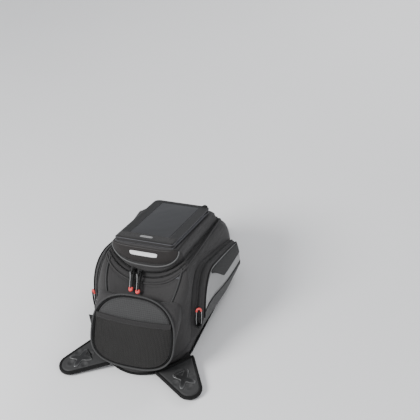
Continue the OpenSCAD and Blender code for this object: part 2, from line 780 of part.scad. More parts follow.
module rear_flap_left() { flap_pad(rear_left); }
module rear_flap_right() { flap_pad(rear_right); }
module front_flap_left() { flap_pad(front_left); }
module front_flap_right() { flap_pad(front_right); }
module rear_binding_left() { flap_binding(rear_left); }
module rear_binding_right() { flap_binding(rear_right); }
module front_binding_left() { flap_binding(front_left); }
module front_binding_right() { flap_binding(front_right); }
module rear_ridge_left() { flap_ridge(rear_left); }
module rear_ridge_right() { flap_ridge(rear_right); }
module front_ridge_left() { flap_ridge(front_left); }
module front_ridge_right() { flap_ridge(front_right); }
module rear_magnet_left() { flap_magnet(rear_left); }
module rear_magnet_right() { flap_magnet(rear_right); }
module front_magnet_left() { flap_magnet(front_left); }
module front_magnet_right() { flap_magnet(front_right); }

base_pad();
base_board();
base_welt();
body_shell();
body_zip();
seam_piping_left();
seam_piping_right();
front_pocket();
front_pocket_piping();
front_mesh();
front_mesh_hem();
side_pocket_left();
side_pocket_right();
side_panel_left();
side_panel_right();
side_patch_left();
side_patch_right();
side_piping_left();
side_piping_right();
side_zip_left();
side_zip_right();
side_slider_left();
side_slider_right();
side_pull_left();
side_pull_right();
side_tag();
lid_shell();
lid_front_panel();
lid_emblem();
lid_piping();
lid_zip();
lid_hinge_strip();
holder_pads();
holder_back();
holder_edge();
holder_frame();
holder_window();
holder_band();
holder_hinge_strip();
zip_slider_left();
zip_slider_right();
zip_pull_left();
zip_pull_right();
rear_flap_left();
rear_flap_right();
front_flap_left();
front_flap_right();
rear_binding_left();
rear_binding_right();
front_binding_left();
front_binding_right();
rear_ridge_left();
rear_ridge_right();
front_ridge_left();
front_ridge_right();
rear_magnet_left();
rear_magnet_right();
front_magnet_left();
front_magnet_right();
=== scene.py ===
import bpy
import numpy as np
from mathutils import Matrix, Vector
from numpy import (clip, concatenate, cos, cross, exp, linspace, maximum, meshgrid, minimum, pi, radians, sin,
                   stack, where)


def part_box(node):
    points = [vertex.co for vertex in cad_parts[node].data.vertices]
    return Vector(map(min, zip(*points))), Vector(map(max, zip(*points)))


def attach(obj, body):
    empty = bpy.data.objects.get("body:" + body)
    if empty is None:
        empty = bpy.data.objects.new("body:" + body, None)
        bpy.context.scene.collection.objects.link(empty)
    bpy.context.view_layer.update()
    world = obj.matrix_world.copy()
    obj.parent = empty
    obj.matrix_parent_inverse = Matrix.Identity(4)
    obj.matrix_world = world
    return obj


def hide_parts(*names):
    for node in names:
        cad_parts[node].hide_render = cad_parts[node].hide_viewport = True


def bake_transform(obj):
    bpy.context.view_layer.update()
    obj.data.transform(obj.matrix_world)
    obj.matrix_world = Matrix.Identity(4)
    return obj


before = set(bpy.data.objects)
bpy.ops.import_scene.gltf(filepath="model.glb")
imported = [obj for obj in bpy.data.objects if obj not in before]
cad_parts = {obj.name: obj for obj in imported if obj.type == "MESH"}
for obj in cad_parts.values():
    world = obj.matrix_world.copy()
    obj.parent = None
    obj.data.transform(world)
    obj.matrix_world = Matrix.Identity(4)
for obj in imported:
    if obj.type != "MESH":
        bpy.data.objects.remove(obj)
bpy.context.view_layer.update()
MM = 0.001
SIDES = ((-1, "left"), (1, "right"))

# The drawing frame is in millimetres, with its origin at the middle of the base sheet.
base_low, base_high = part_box("base_pad")
ORIGIN = np.array([(base_low[0] + base_high[0]) / 2, (base_low[1] + base_high[1]) / 2, 0.0])


def arr(*values):
    return np.array(values, float)


def mix(a, b, t):
    return a + (b - a) * t


def smooth(low, high, v):
    t = clip((v - low) / (high - low), 0, 1)
    return t * t * (3 - 2 * t)


def bump_at(v, centre, width):
    return exp(-((v - centre) / width) ** 2)


def unit(v):
    return v / maximum(np.linalg.norm(v, axis=-1, keepdims=True), 1e-12)


def vec(*parts):
    return stack(np.broadcast_arrays(*parts), axis=-1).astype(float)


def rounded(v, n):
    return np.sign(v) * np.abs(v) ** (2 / n)


def runs(*stops):
    """Even steps from stop to stop, written as value, count, value, count, ... value."""
    parts = [linspace(a, b, n)[:-1] for a, n, b in zip(stops[:-2:2], stops[1::2], stops[2::2])]
    return concatenate(parts + [stops[-1:]])


def ripple(a, b, seed, scale=1.0):
    """Smooth uneven waviness between about -1 and 1, the same on every run."""
    rng = np.random.RandomState(seed)
    total = 0.0
    for k in range(7):
        fa, fb = rng.uniform(-1, 1, 2) * scale * (1 + 0.45 * k)
        total = total + sin(fa * a + fb * b + rng.uniform(0, 6.28)) / (1.3 + 0.5 * k)
    return total / 2.6


# ---- Surfaces, with the same formulas as the CAD source ----
PAD, WALL, GAP, TILT = 3.0, 4.0, 0.5, 0.32


def level(L, u):
    """A point of one level of the shell. u is 0 at the rider's end, and 4 or -4 at the far end."""
    near, start, end, far, power = L
    q = np.abs(u)
    s, k = sin(pi / 2 * minimum(q, 1)), maximum(cos(pi / 2 * minimum(q, 1)), 0)
    f = pi / 2 * (clip(q, 2, 3) - 2)
    part = [q <= 1, q <= 2, q <= 3]
    x = np.select(part, [start[0] * s ** power, mix(start[0], end[0], q - 1),
                         far[0] + (end[0] - far[0]) * cos(f)], far[0] * (4 - q))
    y = np.select(part, [start[1] + (near[1] - start[1]) * k ** power, mix(start[1], end[1], q - 1),
                         end[1] + (far[1] - end[1]) * sin(f)], far[1])
    z = np.select(part, [near[2] + (start[2] - near[2]) * s * s, mix(start[2], end[2], q - 1),
                         mix(end[2], far[2], q - 2)], far[2])
    return vec(where(u < 0, -x, x), y, z)


def lid_z(y):
    return 190 - TILT * (y + 38)


BASE = [arr(0, -157, 0), arr(80, -83, 0), arr(84, 130, 0), arr(62, 157, 0), 1.08]
WAIST = [arr(0, -125, 85), arr(90, -60, 140), arr(92, 112, 142), arr(68, 153, 92), 0.85]
LID_WAIST = [arr(0, -45, 165), arr(65, -22, 178), arr(66, 121, 138), arr(50, 145, 127), 0.6]
LID_TOP = [arr(x, y, lid_z(y)) for x, y in ((0, -34), (57, -25), (58, 120), (48, 136))] + [0.5]

ZIP_RADIUS, ZIP_SWEEP, ZIP_LEAN = 85.0, radians(52), radians(54.8)
ZIP_LOW = arr(0, -45, 135)
ZIP_UP = arr(0, cos(ZIP_LEAN), sin(ZIP_LEAN))
ZIP_OUT = arr(0, -sin(ZIP_LEAN), cos(ZIP_LEAN))
ZIP_CENTRE = ZIP_LOW + ZIP_RADIUS * ZIP_UP


def zip_arc(angle, out=0.0):
    angle = np.asarray(angle, float)[..., None]
    return ZIP_CENTRE + ZIP_RADIUS * (sin(angle) * arr(1, 0, 0) - cos(angle) * ZIP_UP) + out * ZIP_OUT


ZIP_LEVEL = [ZIP_LOW, zip_arc(ZIP_SWEEP), arr(68, 122, 121), arr(50, 140, 116), 1]


def zip_line(u):
    return where(np.abs(u)[..., None] <= 1, zip_arc(u * ZIP_SWEEP), level(ZIP_LEVEL, u))


def inset(L, d, h):
    return [L[0] + arr(0, d, h), L[1] + arr(-d, 0, h), L[2] + arr(-d, 0, h), L[3] + arr(-d / 2, -d, h), L[4]]


def zip_inset(u, d):
    p = zip_line(u)
    return p + unit(vec(-p[..., 0], clip(p[..., 1], 0, 90) - p[..., 1], 0)) * d


def bend(a, b, c, t, pull=1.0):
    t, pull = np.asarray(t, float)[..., None], np.asarray(pull, float)[..., None]
    i, j, k = (1 - t) ** 2, 2 * pull * t * (1 - t), t * t
    return (a * i + b * j + c * k) / (i + j + k)


def shoulder(u):
    q = np.abs(u)
    side, far = 0.8, 0.3
    beyond = where(q <= 2, side, mix(side, far, clip(q - 2, 0, 1)))
    return 1 + where(q <= 1, side * sin(pi / 2 * q) ** 2, beyond)


def body_raw(u, t):
    return bend(level(BASE, u) + arr(0, 0, PAD), level(WAIST, u), zip_line(u), t, shoulder(u))


def body_inner(u, t):
    return bend(level(inset(BASE, WALL, PAD + 1.5), u), level(inset(WAIST, WALL, 0), u),
                zip_inset(u, WALL), t, shoulder(u))


def on_top(p, drop=0.0):
    return vec(p[..., 0], p[..., 1], lid_z(p[..., 1]) - drop)


def lid_raw(u, t):
    return bend(zip_line(u) + arr(0, 0, 1.2), level(LID_WAIST, u), on_top(level(LID_TOP, u)), t)


def lid_inner(u, t):
    return bend(zip_inset(u, WALL) + arr(0, 0, 1.2), level(inset(LID_WAIST, WALL, -1), u),
                on_top(level(inset(LID_TOP, WALL, 0), u), WALL), t)


SURFACES = {"bag": body_raw, "lid": lid_raw}


def outward(surface, u, t, e=0.01):
    u, t = np.broadcast_arrays(u, t)
    along = surface(u + e, t) - surface(u - e, t)
    up = surface(u, minimum(t + e, 1)) - surface(u, maximum(t - e, 0))
    return unit(cross(along, up))


def at(surface, u, t, h=0.0):
    """A point of a surface, raised by h."""
    u, t = np.broadcast_arrays(u, t)
    return surface(u, t) + np.asarray(h, float)[..., None] * outward(surface, u, t)


def body_at(u, t, h=0.0):
    return at(body_raw, u, t, h)


def lid_at(u, t, h=0.0):
    return at(lid_raw, u, t, h)


# ---- Meshes ----
def run_of(path):
    """How far along a path each of its points lies."""
    return concatenate([[0], np.cumsum(np.linalg.norm(np.diff(path, axis=0), axis=-1))])


def sample(s, run, values):
    return stack([np.interp(s, run, column) for column in values.T], -1)


def lengths(P):
    """Distances along the rows and columns of a grid of points, for a cloth's own weave."""
    across, up = np.zeros((2, *P.shape[:2]))
    across[:, 1:] = np.cumsum(np.linalg.norm(np.diff(P, axis=1), axis=-1), axis=1)
    up[1:] = np.cumsum(np.linalg.norm(np.diff(P, axis=0), axis=-1), axis=0)
    return stack([across, up], axis=-1)


def ring_faces(n, sides, closed=False):
    """Faces round a row of n rings."""
    i, j = meshgrid(np.arange(n if closed else n - 1), np.arange(sides), indexing="ij")
    here, there, step = i * sides, (i + 1) % n * sides, (j + 1) % sides
    return stack([here + j, here + step, there + step, there + j], axis=-1).reshape(-1, 4)


# The mark for paler colour is edge wear on cloth and a painted highlight on the rims of the flap ridges.
class Build:
    """Collects points, faces, weave places and a mark for paler colour, and makes one object of them.

    Pieces that come in pairs are drawn for the right side, and side -1 mirrors them.
    """

    def __init__(self, side=1):
        self.points, self.faces, self.uv, self.wear, self.kind = [], [], [], [], []
        self.count, self.side, self.turned = 0, arr(side, 1, 1), side < 0

    def add(self, points, faces, uv=(0, 0), wear=0.0, kind=0):
        points = np.reshape(points, (-1, 3))
        self.points.append(points)
        self.faces.extend([[k + self.count for k in face] for face in faces])
        self.uv.append(np.broadcast_to(np.reshape(uv, (-1, 2)), (len(points), 2)))
        self.wear.append(np.broadcast_to(np.ravel(wear), len(points)))
        self.kind.extend([kind] * len(faces))
        self.count += len(points)
        return self

    def grid(self, P, flip=False, wear=0.0, kind=0, uv=None):
        P = P * self.side
        n, m = P.shape[:2]
        first = np.arange(n * m).reshape(n, m)[:-1, :-1].ravel()
        quads = stack([first, first + 1, first + 1 + m, first + m], axis=-1)
        quads = quads[:, ::-1] if flip != self.turned else quads
        uv = lengths(P) if uv is None else uv
        return self.add(P, quads.tolist(), uv, np.broadcast_to(wear, (n, m)), kind)

    def slab(self, outer, inner, wear=0.0, kind=0, flip=False):
        """A closed sheet between an outer and an inner grid."""
        n, m = outer.shape[:2]
        ids = self.count + np.arange(n * m).reshape(n, m)
        self.grid(outer, flip, wear, kind).grid(inner, not flip, 0.0, kind)
        edge = concatenate([ids[:, 0], ids[-1, 1:], ids[-2::-1, -1], ids[0, -2:0:-1]])
        after = np.roll(edge, -1)
        faces = stack([edge, after, after + n * m, edge + n * m], axis=-1)
        self.faces.extend((faces[:, ::-1] if flip != self.turned else faces).tolist())
        self.kind.extend([kind] * len(faces))
        return self

    def tube(self, path, radius, up, closed=False, sides=10, kind=0, squash=1.0):
        """A round cord along a path. squash stretches it along the up direction."""
        path = np.asarray(path, float) * self.side
        n = len(path)
        ahead = unit(np.roll(path, -1, 0) - np.roll(path, 1, 0) if closed else np.gradient(path, axis=0))
        side = unit(cross(ahead, np.broadcast_to(up, path.shape) * self.side))
        lift = cross(side, ahead)
        turn = 2 * pi * np.arange(sides) / sides
        radius = np.broadcast_to(radius, (n,))
        ring = path[:, None] + radius[:, None, None] * (cos(turn)[None, :, None] * side[:, None]
                                                        + squash * sin(turn)[None, :, None] * lift[:, None])
        uv = vec(turn * radius.mean(), run_of(path)[:, None])
        faces = ring_faces(n, sides, closed).tolist()
        if not closed:
            faces += [list(range(sides))[::-1], [(n - 1) * sides + j for j in range(sides)]]
        return self.add(ring, faces, uv, 0.0, kind)

    def make(self, name, body, stands_for, slot, *materials):
        mesh = bpy.data.meshes.new(name)
        mesh.from_pydata((concatenate(self.points) * MM + ORIGIN).tolist(), [], self.faces)
        layer = mesh.uv_layers.new(name="cloth")
        corner = np.zeros(len(mesh.loops), np.int64)
        mesh.loops.foreach_get("vertex_index", corner)
        uv = concatenate(self.uv) * MM
        layer.data.foreach_set("uv", uv[corner].astype(np.float32).ravel())
        wear = mesh.attributes.new("wear", "FLOAT", "POINT")
        wear.data.foreach_set("value", concatenate(self.wear).astype(np.float32))
        for material in materials:
            mesh.materials.append(material)
        mesh.polygons.foreach_set("material_index", np.array(self.kind, np.int32))
        mesh.polygons.foreach_set("use_smooth", np.ones(len(mesh.polygons), bool))
        mesh.update()
        mesh.validate()
        obj = bpy.data.objects.new(name, mesh)
        bpy.context.scene.collection.objects.link(obj)
        if body:
            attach(obj, body)
        if stands_for:
            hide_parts(stands_for)
        return obj


THREAD = {}
STITCH_RINGS, STITCH_SIDES = ((-1, 0.35), (-0.6, 1), (0.6, 1), (1, 0.35)), 6  # place along it, and width


def stitch_row(body, path, lift, side=1, pitch=3.1, length=2.2, radius=0.36):
    """Adds a row of thread stitches along a path to the body's thread."""
    path = np.asarray(path, float) * arr(side, 1, 1)
    run = run_of(path)
    c = np.arange(pitch, run[-1] - pitch / 2, pitch)
    t = unit(sample(c + 0.5, run, path) - sample(c - 0.5, run, path))
    n = unit(sample(c, run, np.broadcast_to(lift, path.shape) * arr(side, 1, 1)))
    c, t, n, s = (v[:, None] for v in (sample(c, run, path), t, n, cross(t, n)))
    turn = 2 * pi * np.arange(STITCH_SIDES)[None, :, None] / STITCH_SIDES
    around, sink = radius * (cos(turn) * s + sin(turn) * n), 0.9 * radius * n
    points = stack([c + x * length / 2 * t + r * around - (1 - r) * sink for x, r in STITCH_RINGS], 1)
    faces = ring_faces(len(STITCH_RINGS), STITCH_SIDES)
    faces = faces + (np.arange(len(c)) * len(STITCH_RINGS) * STITCH_SIDES)[:, None, None]
    THREAD.setdefault(body, Build()).add(points, faces.reshape(-1, 4).tolist())


def sew(body, u, t, h):
    """Stitches along a line of the bag's or the lid's cloth."""
    stitch_row(body, at(SURFACES[body], u, t, h), outward(SURFACES[body], u, t))


def cord_on(body, u, t, h, radius, sides=12):
    """A cord along a line of the bag's or the lid's cloth."""
    return Build().tube(at(SURFACES[body], u, t, h), radius, outward(SURFACES[body], u, t), sides=sides)


def coil(build, path, lift, radius=1.1, pitch=1.7, wire=0.42, flatten=0.8):
    """A zip's spiral of teeth round a path. It turns the same way on both sides."""
    run = run_of(path)
    s = linspace(0, run[-1], int(run[-1] / pitch * 10))
    p = sample(s, run, path)
    t = unit(np.gradient(p, axis=0))
    n = unit(sample(s, run, np.broadcast_to(lift, path.shape)))
    turn = (2 * pi * s / pitch)[:, None]
    p = p + radius * (cos(turn) * build.side[0] * cross(t, n) + flatten * sin(turn) * n)
    build.tube(p, wire, t, sides=5)


# ---- Materials ----
class Nodes:
    """A short way to write a material's nodes."""

    def __init__(self, name):
        self.material = bpy.data.materials.new(name)
        self.material.use_nodes = True
        self.tree = self.material.node_tree
        self.tree.nodes.clear()
        self.out = self.tree.nodes.new("ShaderNodeOutputMaterial")

    def put(self, socket, value):
        if isinstance(value, bpy.types.NodeSocket):
            self.tree.links.new(value, socket)
        else:
            socket.default_value = value

    def node(self, kind, settings=None, **inputs):
        """Input _0 is a node's first socket, and the others go by their names."""
        made = self.tree.nodes.new("ShaderNode" + kind)
        for key, value in (settings or {}).items():
            setattr(made, key, value)
        for key, value in inputs.items():
            self.put(made.inputs[int(key[1:]) if key[0] == "_" else key.replace("_", " ")], value)
        return made

    def math(self, operation, a, b=0.0, c=0.0):
        return self.node("Math", {"operation": operation}, _0=a, _1=b, _2=c).outputs[0]

    def mul(self, a, b):
        return self.math("MULTIPLY", a, b)

    def mul_add(self, a, b, c):
        return self.math("MULTIPLY_ADD", a, b, c)

    def wave(self, value, pitch, kind="SINE"):
        return self.math(kind, self.mul(value, 2 * pi / (pitch * MM)))

    def span(self, value, low, high):
        made = self.node("MapRange", {"interpolation_type": "SMOOTHSTEP"}, _0=value, _1=low, _2=high)
        return made.outputs[0]

    def blend(self, factor, a, b):
        made = self.node("Mix", {"data_type": "RGBA"}, _0=factor)
        self.put(made.inputs[6], a)
        self.put(made.inputs[7], b)
        return made.outputs[2]

    def noise(self, place, scale, detail=3.0, rough=0.55):
        return self.node("TexNoise", _0=place, Scale=scale, Detail=detail, Roughness=rough).outputs["Fac"]

    def place(self):
        return self.node("TexCoord").outputs["Object"]

    def weave(self):
        parts = self.node("SeparateXYZ", _0=self.node("UVMap", {"uv_map": "cloth"}).outputs[0]).outputs
        return parts[0], parts[1]

    def worn_and_highlit(self):
        return self.node("Attribute", {"attribute_name": "wear"}).outputs["Fac"]

    def finish(self, color, rough, height=None, depth=0.3, **shader):
        """depth is the height of the relief in millimetres."""
        if height is not None:
            shader["Normal"] = self.node("Bump", Strength=1.0, Distance=depth * MM, Height=height).outputs[0]
        made = self.node("BsdfPrincipled", Base_Color=color, Roughness=rough, **shader)
        self.tree.links.new(made.outputs[0], self.out.inputs[0])
        return self.material


def shade(hex_colour, factor=1.0):
    """A display colour as the linear colour that the shader takes."""
    value = [int(hex_colour[i:i + 2], 16) / 255 for i in (1, 3, 5)]
    linear = [(c / 12.92 if c <= 0.04045 else ((c + 0.055) / 1.055) ** 2.4) * factor for c in value]
    return (*linear, 1.0)


def cloth(name, colour, pitch=0.9, depth=0.12, rough=0.85, sheen=0.08, grid=0.0, mottle=0.22, slant=0.0,
          shine=0.22):
    """Woven cloth: threads that pass over and under, a broken-up tone, and paler edges where the marked cloth
    wears.
    """
    n = Nodes(name)
    u, v = n.weave()
    if slant:
        v = n.math("ADD", v, n.mul(u, slant))
    threads = n.mul_add(n.mul(n.wave(u, pitch), n.wave(v, pitch)), 0.5, 0.5)
    body = n.place()
    broad, fine = n.noise(body, 28.0, 4.0), n.noise(body, 500.0, 2.0)
    height = n.mul_add(fine, 0.6, threads)
    tone = n.mul_add(threads, 0.3, n.mul_add(broad, 0.4, n.mul(fine, 0.4)))
    if grid:
        lines = n.math("MAXIMUM", *[n.span(n.wave(k, grid, "COSINE"), 0.86, 0.98) for k in (u, v)])
        height, tone = n.mul_add(lines, 1.6, height), n.mul_add(lines, 0.5, tone)
    color = n.blend(tone, shade(colour, 1 - mottle), shade(colour, 1 + mottle))
    patchy = n.span(n.noise(body, 160.0, 4.0), 0.35, 0.65)
    worn_and_highlit = n.mul(n.worn_and_highlit(), n.mul_add(patchy, 0.6, 0.4))
    color = n.blend(n.mul(worn_and_highlit, 0.35), color, shade(colour, 1.9))
    return n.finish(color, n.mul_add(broad, 0.1, rough - 0.05), height, depth, Sheen_Weight=sheen,
                    Sheen_Roughness=0.45, Specular_IOR_Level=shine)


def moulded(name, colour, rough=0.45, grain=700.0, depth=0.05, mottle=0.12, metallic=0.0, worn_to=None):
    """Moulded, cast or coated stuff with a fine grain and small uneven patches."""
    n = Nodes(name)
    place = n.place()
    broad, fine = n.noise(place, 60.0, 4.0), n.noise(place, grain, 3.0)
    color = n.blend(broad, shade(colour, 1 - mottle), shade(colour, 1 + mottle))
    if worn_to:
        rub = n.span(n.noise(place, 240.0, 5.0, 0.7), 0.58, 0.72)
        color = n.blend(n.mul(rub, 0.35), color, shade(worn_to))
    # Marked points turn up to eight times paler: a painted highlight along the rims of the flap ridges, the
    # only moulded parts that carry the mark.
    color = n.blend(n.mul(n.worn_and_highlit(), 0.85), color, shade(colour, 8.0))
    return n.finish(color, n.mul_add(fine, 0.16, rough - 0.08), fine, depth, Metallic=metallic)


def leathery(name, colour, rough=0.5, scale=900.0, depth=0.08):
    """A coated skin with small creased cells."""
    n = Nodes(name)
    place = n.place()
    cells = n.node("TexVoronoi", {"feature": "SMOOTH_F1"}, _0=place, Scale=scale).outputs["Distance"]
    broad = n.noise(place, 45.0, 4.0)
    color = n.blend(n.mul_add(broad, 0.7, n.mul(cells, 0.3)), shade(colour, 0.8), shade(colour, 1.25))
    return n.finish(color, n.mul_add(broad, 0.14, rough - 0.07), n.mul(cells, -1.0), depth,
                    Specular_IOR_Level=0.3)


def ribbed(name, colour, pitch=1.2, depth=0.15, rough=0.7):
    """Woven tape or round cord with ribs across its run."""
    n = Nodes(name)
    u, v = n.weave()
    rib = n.mul_add(n.wave(n.mul_add(u, 0.8, v), pitch), 0.5, 0.5)
    fine = n.noise(n.place(), 800.0, 2.0)
    color = n.blend(n.mul_add(rib, 0.6, n.mul(fine, 0.4)), shade(colour, 0.7), shade(colour, 1.3))
    return n.finish(color, rough, n.mul_add(fine, 0.3, rib), depth, Sheen_Weight=0.03,
                    Specular_IOR_Level=0.22)


def netting(name, colour):
    """Knitted mesh: open cells between fine upright ribs."""
    n = Nodes(name)
    u, v = n.weave()
    hole = n.span(n.mul(n.wave(u, 3.4), n.wave(v, 2.8)), 0.1, 0.6)
    thread = n.blend(n.noise(n.place(), 35.0, 4.0), shade(colour, 0.85), shade(colour, 1.3))
    # The open cells are near black: partly the dark cloth behind the net, partly painted shade inside the
    # pocket.
    color = n.blend(n.mul(hole, 0.95), thread, shade("#050505"))
    return n.finish(color, 0.7, n.mul(hole, -1.0), 0.25, Sheen_Weight=0.05, Specular_IOR_Level=0.25)


def film(name, colour):
    """Clear film lying on a dark lining: glossy, with faint waves."""
    n = Nodes(name)
    place = n.place()
    broad = n.noise(place, 22.0, 3.0)
    smear = n.span(n.noise(place, 80.0, 5.0, 0.7), 0.45, 0.75)
    color = n.blend(broad, shade(colour, 0.7), shade(colour, 1.4))
    return n.finish(color, n.mul_add(smear, 0.1, 0.07), broad, 0.5, Coat_Weight=0.25, Coat_Roughness=0.04,
                    Specular_IOR_Level=0.35)


SHELL = cloth("shell_fabric", "#393838", pitch=1.1, depth=0.14, sheen=0.1)
RIPSTOP = cloth("ripstop_fabric", "#3d3d3d", pitch=0.8, depth=0.2, grid=3.4, sheen=0.1, mottle=0.5)
SILVER = cloth("silver_fabric", "#848484", pitch=0.7, depth=0.06, rough=0.55, sheen=0.3, mottle=0.14,
               shine=0.5)
PATCH = cloth("patch_fabric", "#2d2d2d", pitch=1.4, depth=0.3, grid=5.6, sheen=0.06, mottle=0.5)
STRIP = cloth("strip_fabric", "#4c4c4c", pitch=2.2, depth=0.4, slant=1.0, mottle=0.4)
LINING = cloth("lining_fabric", "#5a5a5e", pitch=0.8, depth=0.08, rough=0.7, sheen=0.2)
PIPING = ribbed("piping_cord", "#3d3d3d", pitch=1.5)
PALE_PIPING = ribbed("pale_piping", "#5c5c5c", pitch=1.5)
HEM = cloth("hem_fabric", "#2c2b2b", pitch=1.0, depth=0.14)
TAPE = ribbed("binding_tape", "#0b0b0b", pitch=1.3)
COIL = moulded("zip_coil", "#1b1b1b", rough=0.4)
METAL = moulded("zip_metal", "#1a1a1a", rough=0.32, metallic=0.5, worn_to="#7c7c7c", depth=0.02)
CORD = ribbed("pull_cord", "#0e0e0e", pitch=1.1, rough=0.6)
# A pale cord colour used as a painted highlight along the zip pulls' cords.
HIGHLIGHT_CORD = ribbed("cord_painted_highlight", "#a9a9a9", pitch=1.1, rough=0.45)
CORAL = moulded("coral_ends", "#dd4a48", rough=0.4, depth=0.03)
EMBLEM = moulded("emblem_rubber", "#dcdcdc", rough=0.4, depth=0.03, mottle=0.05)
SKIN = leathery("lid_panel_skin", "#211e1d")
GREY_MARK = moulded("grey_mark", "#8a8a8a", rough=0.5, depth=0.03)
HOLDER = leathery("holder_skin", "#212121", rough=0.55, scale=1200.0, depth=0.05)
FILM = film("window_film", "#0b0c0e")
RUBBER = moulded("base_rubber", "#2a2a2a", rough=0.75, grain=1500.0, depth=0.25)
FLAP = leathery("flap_rubber", "#343434", rough=0.6, scale=800.0, depth=0.1)
RIDGE = moulded("ridge_rubber", "#1d1d1d", rough=0.3, depth=0.04)
STEEL = moulded("magnet_metal", "#9a9a9a", rough=0.3, metallic=1.0, depth=0.01)
BOARD = moulded("stiff_board", "#303030", rough=0.7, grain=500.0, depth=0.15)
FOAM = moulded("foam_pad", "#2e2e2e", rough=0.9, grain=1200.0, depth=0.3)
NET = netting("mesh_fabric", "#252423")
DARK_THREAD = ribbed("seam_thread", "#3a3a3a", pitch=0.8, depth=0.08)
LABEL = cloth("label_fabric", "#242424", pitch=0.7, depth=0.08)

# CAD nodes that stay in view get a material, and the metal ones slightly softened edges.
PLAIN = {"base_pad": RUBBER, "base_board": BOARD, "holder_pads": FOAM}
for name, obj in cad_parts.items():
    metal = METAL if "slider" in name else STEEL if "magnet" in name else None
    if metal or name in PLAIN:
        obj.data.materials.clear()
        obj.data.materials.append(metal or PLAIN[name])
    if metal:
        edge = obj.modifiers.new("edge", "BEVEL")
        edge.width, edge.segments, edge.limit_method = 0.35 * MM, 2, "ANGLE"
        edge.angle_limit = radians(35)

# ---- Body ----
ROUND = runs(-4, 25, -3, 29, -2, 61, -1, 161, 1, 61, 2, 29, 3, 25, 4)
SEAM_LOW, SEAM_HIGH = (0.622, 0.7), (0.897, 0.935)


def seam_u(t):
    """Where the upright seam of the rider's end runs, carried on above and below its piping."""
    return mix(SEAM_LOW[0], SEAM_HIGH[0], (t - SEAM_LOW[1]) / (SEAM_HIGH[1] - SEAM_LOW[1]))


def body_slack(u, t):
    """How far the body's cloth stands off its plain shape: soft hollows between seams, tight at seams."""
    room = smooth(0, 0.06, t) * smooth(1, 0.93, t)
    near = exp(-(np.abs(u) - seam_u(t)) ** 2 / 0.0016) * smooth(0.45, 0.6, t)
    soft = 0.9 * ripple(u * 3.2, t * 6.0, 11, 2.6) + 0.35 * ripple(u * 9, t * 13, 12, 3.0)
    return room * (soft * (1 - near) * 0.8 - 0.9 * near)


U, T = meshgrid(ROUND, runs(0, 7, 0.08, 71, 0.92, 9, 1))
outer = body_at(U, T, body_slack(U, T))
rim_in, floor_in, under = body_inner(ROUND, 1.0), body_inner(ROUND, 0.0), body_raw(ROUND, 0.0)
body = Build()
body.grid(outer, wear=maximum(smooth(0.05, 0, T), 0.6 * exp(-(np.abs(U) - seam_u(T)) ** 2 / 0.004)))
body.grid(body_inner(U[::3], T[::3]), True, kind=1)
body.grid(stack([outer[-1], (outer[-1] + rim_in) / 2 + arr(0, 0, 0.3), rim_in]), kind=2)
body.grid(stack([mix(floor_in, arr(0, 0, PAD + 1.5), k) for k in (0, 0.5, 1)]), kind=1)
body.grid(stack([mix(under, arr(0, 0, PAD), k) for k in (0, 0.5, 1)]), True)
body.make("body_cloth", "bag", "body_shell", "shell_fabric", SHELL, LINING, TAPE)

for s, name in SIDES:
    t = linspace(SEAM_LOW[1] - 0.18, SEAM_HIGH[1], 60)
    seam = cord_on("bag", s * seam_u(t), t, 1.1, 1.35)
    seam.make(f"seam_cord_{name}", "bag", f"seam_piping_{name}", "piping_cord", PIPING)
    for shift in (-0.035, 0.035):
        u = s * (seam_u(t) + shift)
        sew("bag", u, t, 0.25 + body_slack(u, t))

# ---- Zip tracks, welt and seams of the body ----
TRACK = linspace(-2.5, 2.5, 401)
SPREAD = clip(np.abs(TRACK) - 1, 0, 1)
# On the lid the tape lies tighter where a slider ends its travel.
LID_TAPE = 0.45 * (1 - 0.9 * bump_at(np.abs(TRACK), 0.67, 0.12))
for name, body_name, place, tape_rows, edge, seam_t, off in (
        ("body_zip", "bag", mix(0.957, 0.932, SPREAD), (0.91, 0.935, 0.97, 1.0), 0.91, 0.918, 0.75),
        ("lid_zip", "lid", mix(0.045, 0.1, SPREAD), (0.0, 0.04, 0.09, 0.15), 0.15, 0.138, LID_TAPE)):
    surface = SURFACES[body_name]
    track = Build()
    coil(track, at(surface, TRACK, place, off + 1), outward(surface, TRACK, place))
    over, below = [stack([at(surface, TRACK, k, off - drop) for k in tape_rows]) for drop in (0, 0.4)]
    track.slab(over, below, kind=1)
    track.make(f"{name}_teeth", body_name, name, "zip_coil", COIL, SHELL)
    stitch_row(body_name, at(surface, TRACK, seam_t, off + 0.15), outward(surface, TRACK, edge))

# A narrow fold of cloth shades the zip from below, all along the track.
cord_on("bag", TRACK, 0.9, 1.2, 1.5).make("zip_fold", "bag", "", "shell_fabric", SHELL)
sew("bag", TRACK, 0.87, 0.4 + body_slack(TRACK, 0.87))

welt = Build().tube(level(inset(BASE, -2.9, 0), ROUND[:-1]) + arr(0, 0, PAD + 1), 2.0, arr(0, 0, 1), True, 12)
welt.make("base_welt_cord", "bag", "base_welt", "binding_tape", TAPE)
sew("bag", ROUND, 0.045, 0.35)

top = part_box("base_board")[1][2] / MM + 0.5
rings = [level(inset(BASE, 8.6, 0), ROUND[::2]) * arr(1, 1, 0) * k for k in (1.0, 0.99, 0.6, 0.2)]
felt = Build().grid(stack([r + arr(0, 0, top + z) for r, z in zip(rings, (-2.6, 0.2, 0.5, 0.5))]))
felt.add(rings[-1] + arr(0, 0, top + 0.5), [list(range(len(rings[-1]) - 1))])
felt.make("board_cover", "bag", "", "stiff_board", LINING)

# ---- Front pocket ----
FACE_FOOT, FACE_LEAN = arr(0, -161, 20), radians(58)
FACE_UP = arr(0, cos(FACE_LEAN), sin(FACE_LEAN))
FACE_OUT = arr(0, -sin(FACE_LEAN), cos(FACE_LEAN))
FACE_HALF, FACE_MID, FACE_LOW, FACE_HIGH, FACE_CROWN = 76.0, 52.0, 52.0, 73.0, 5.0


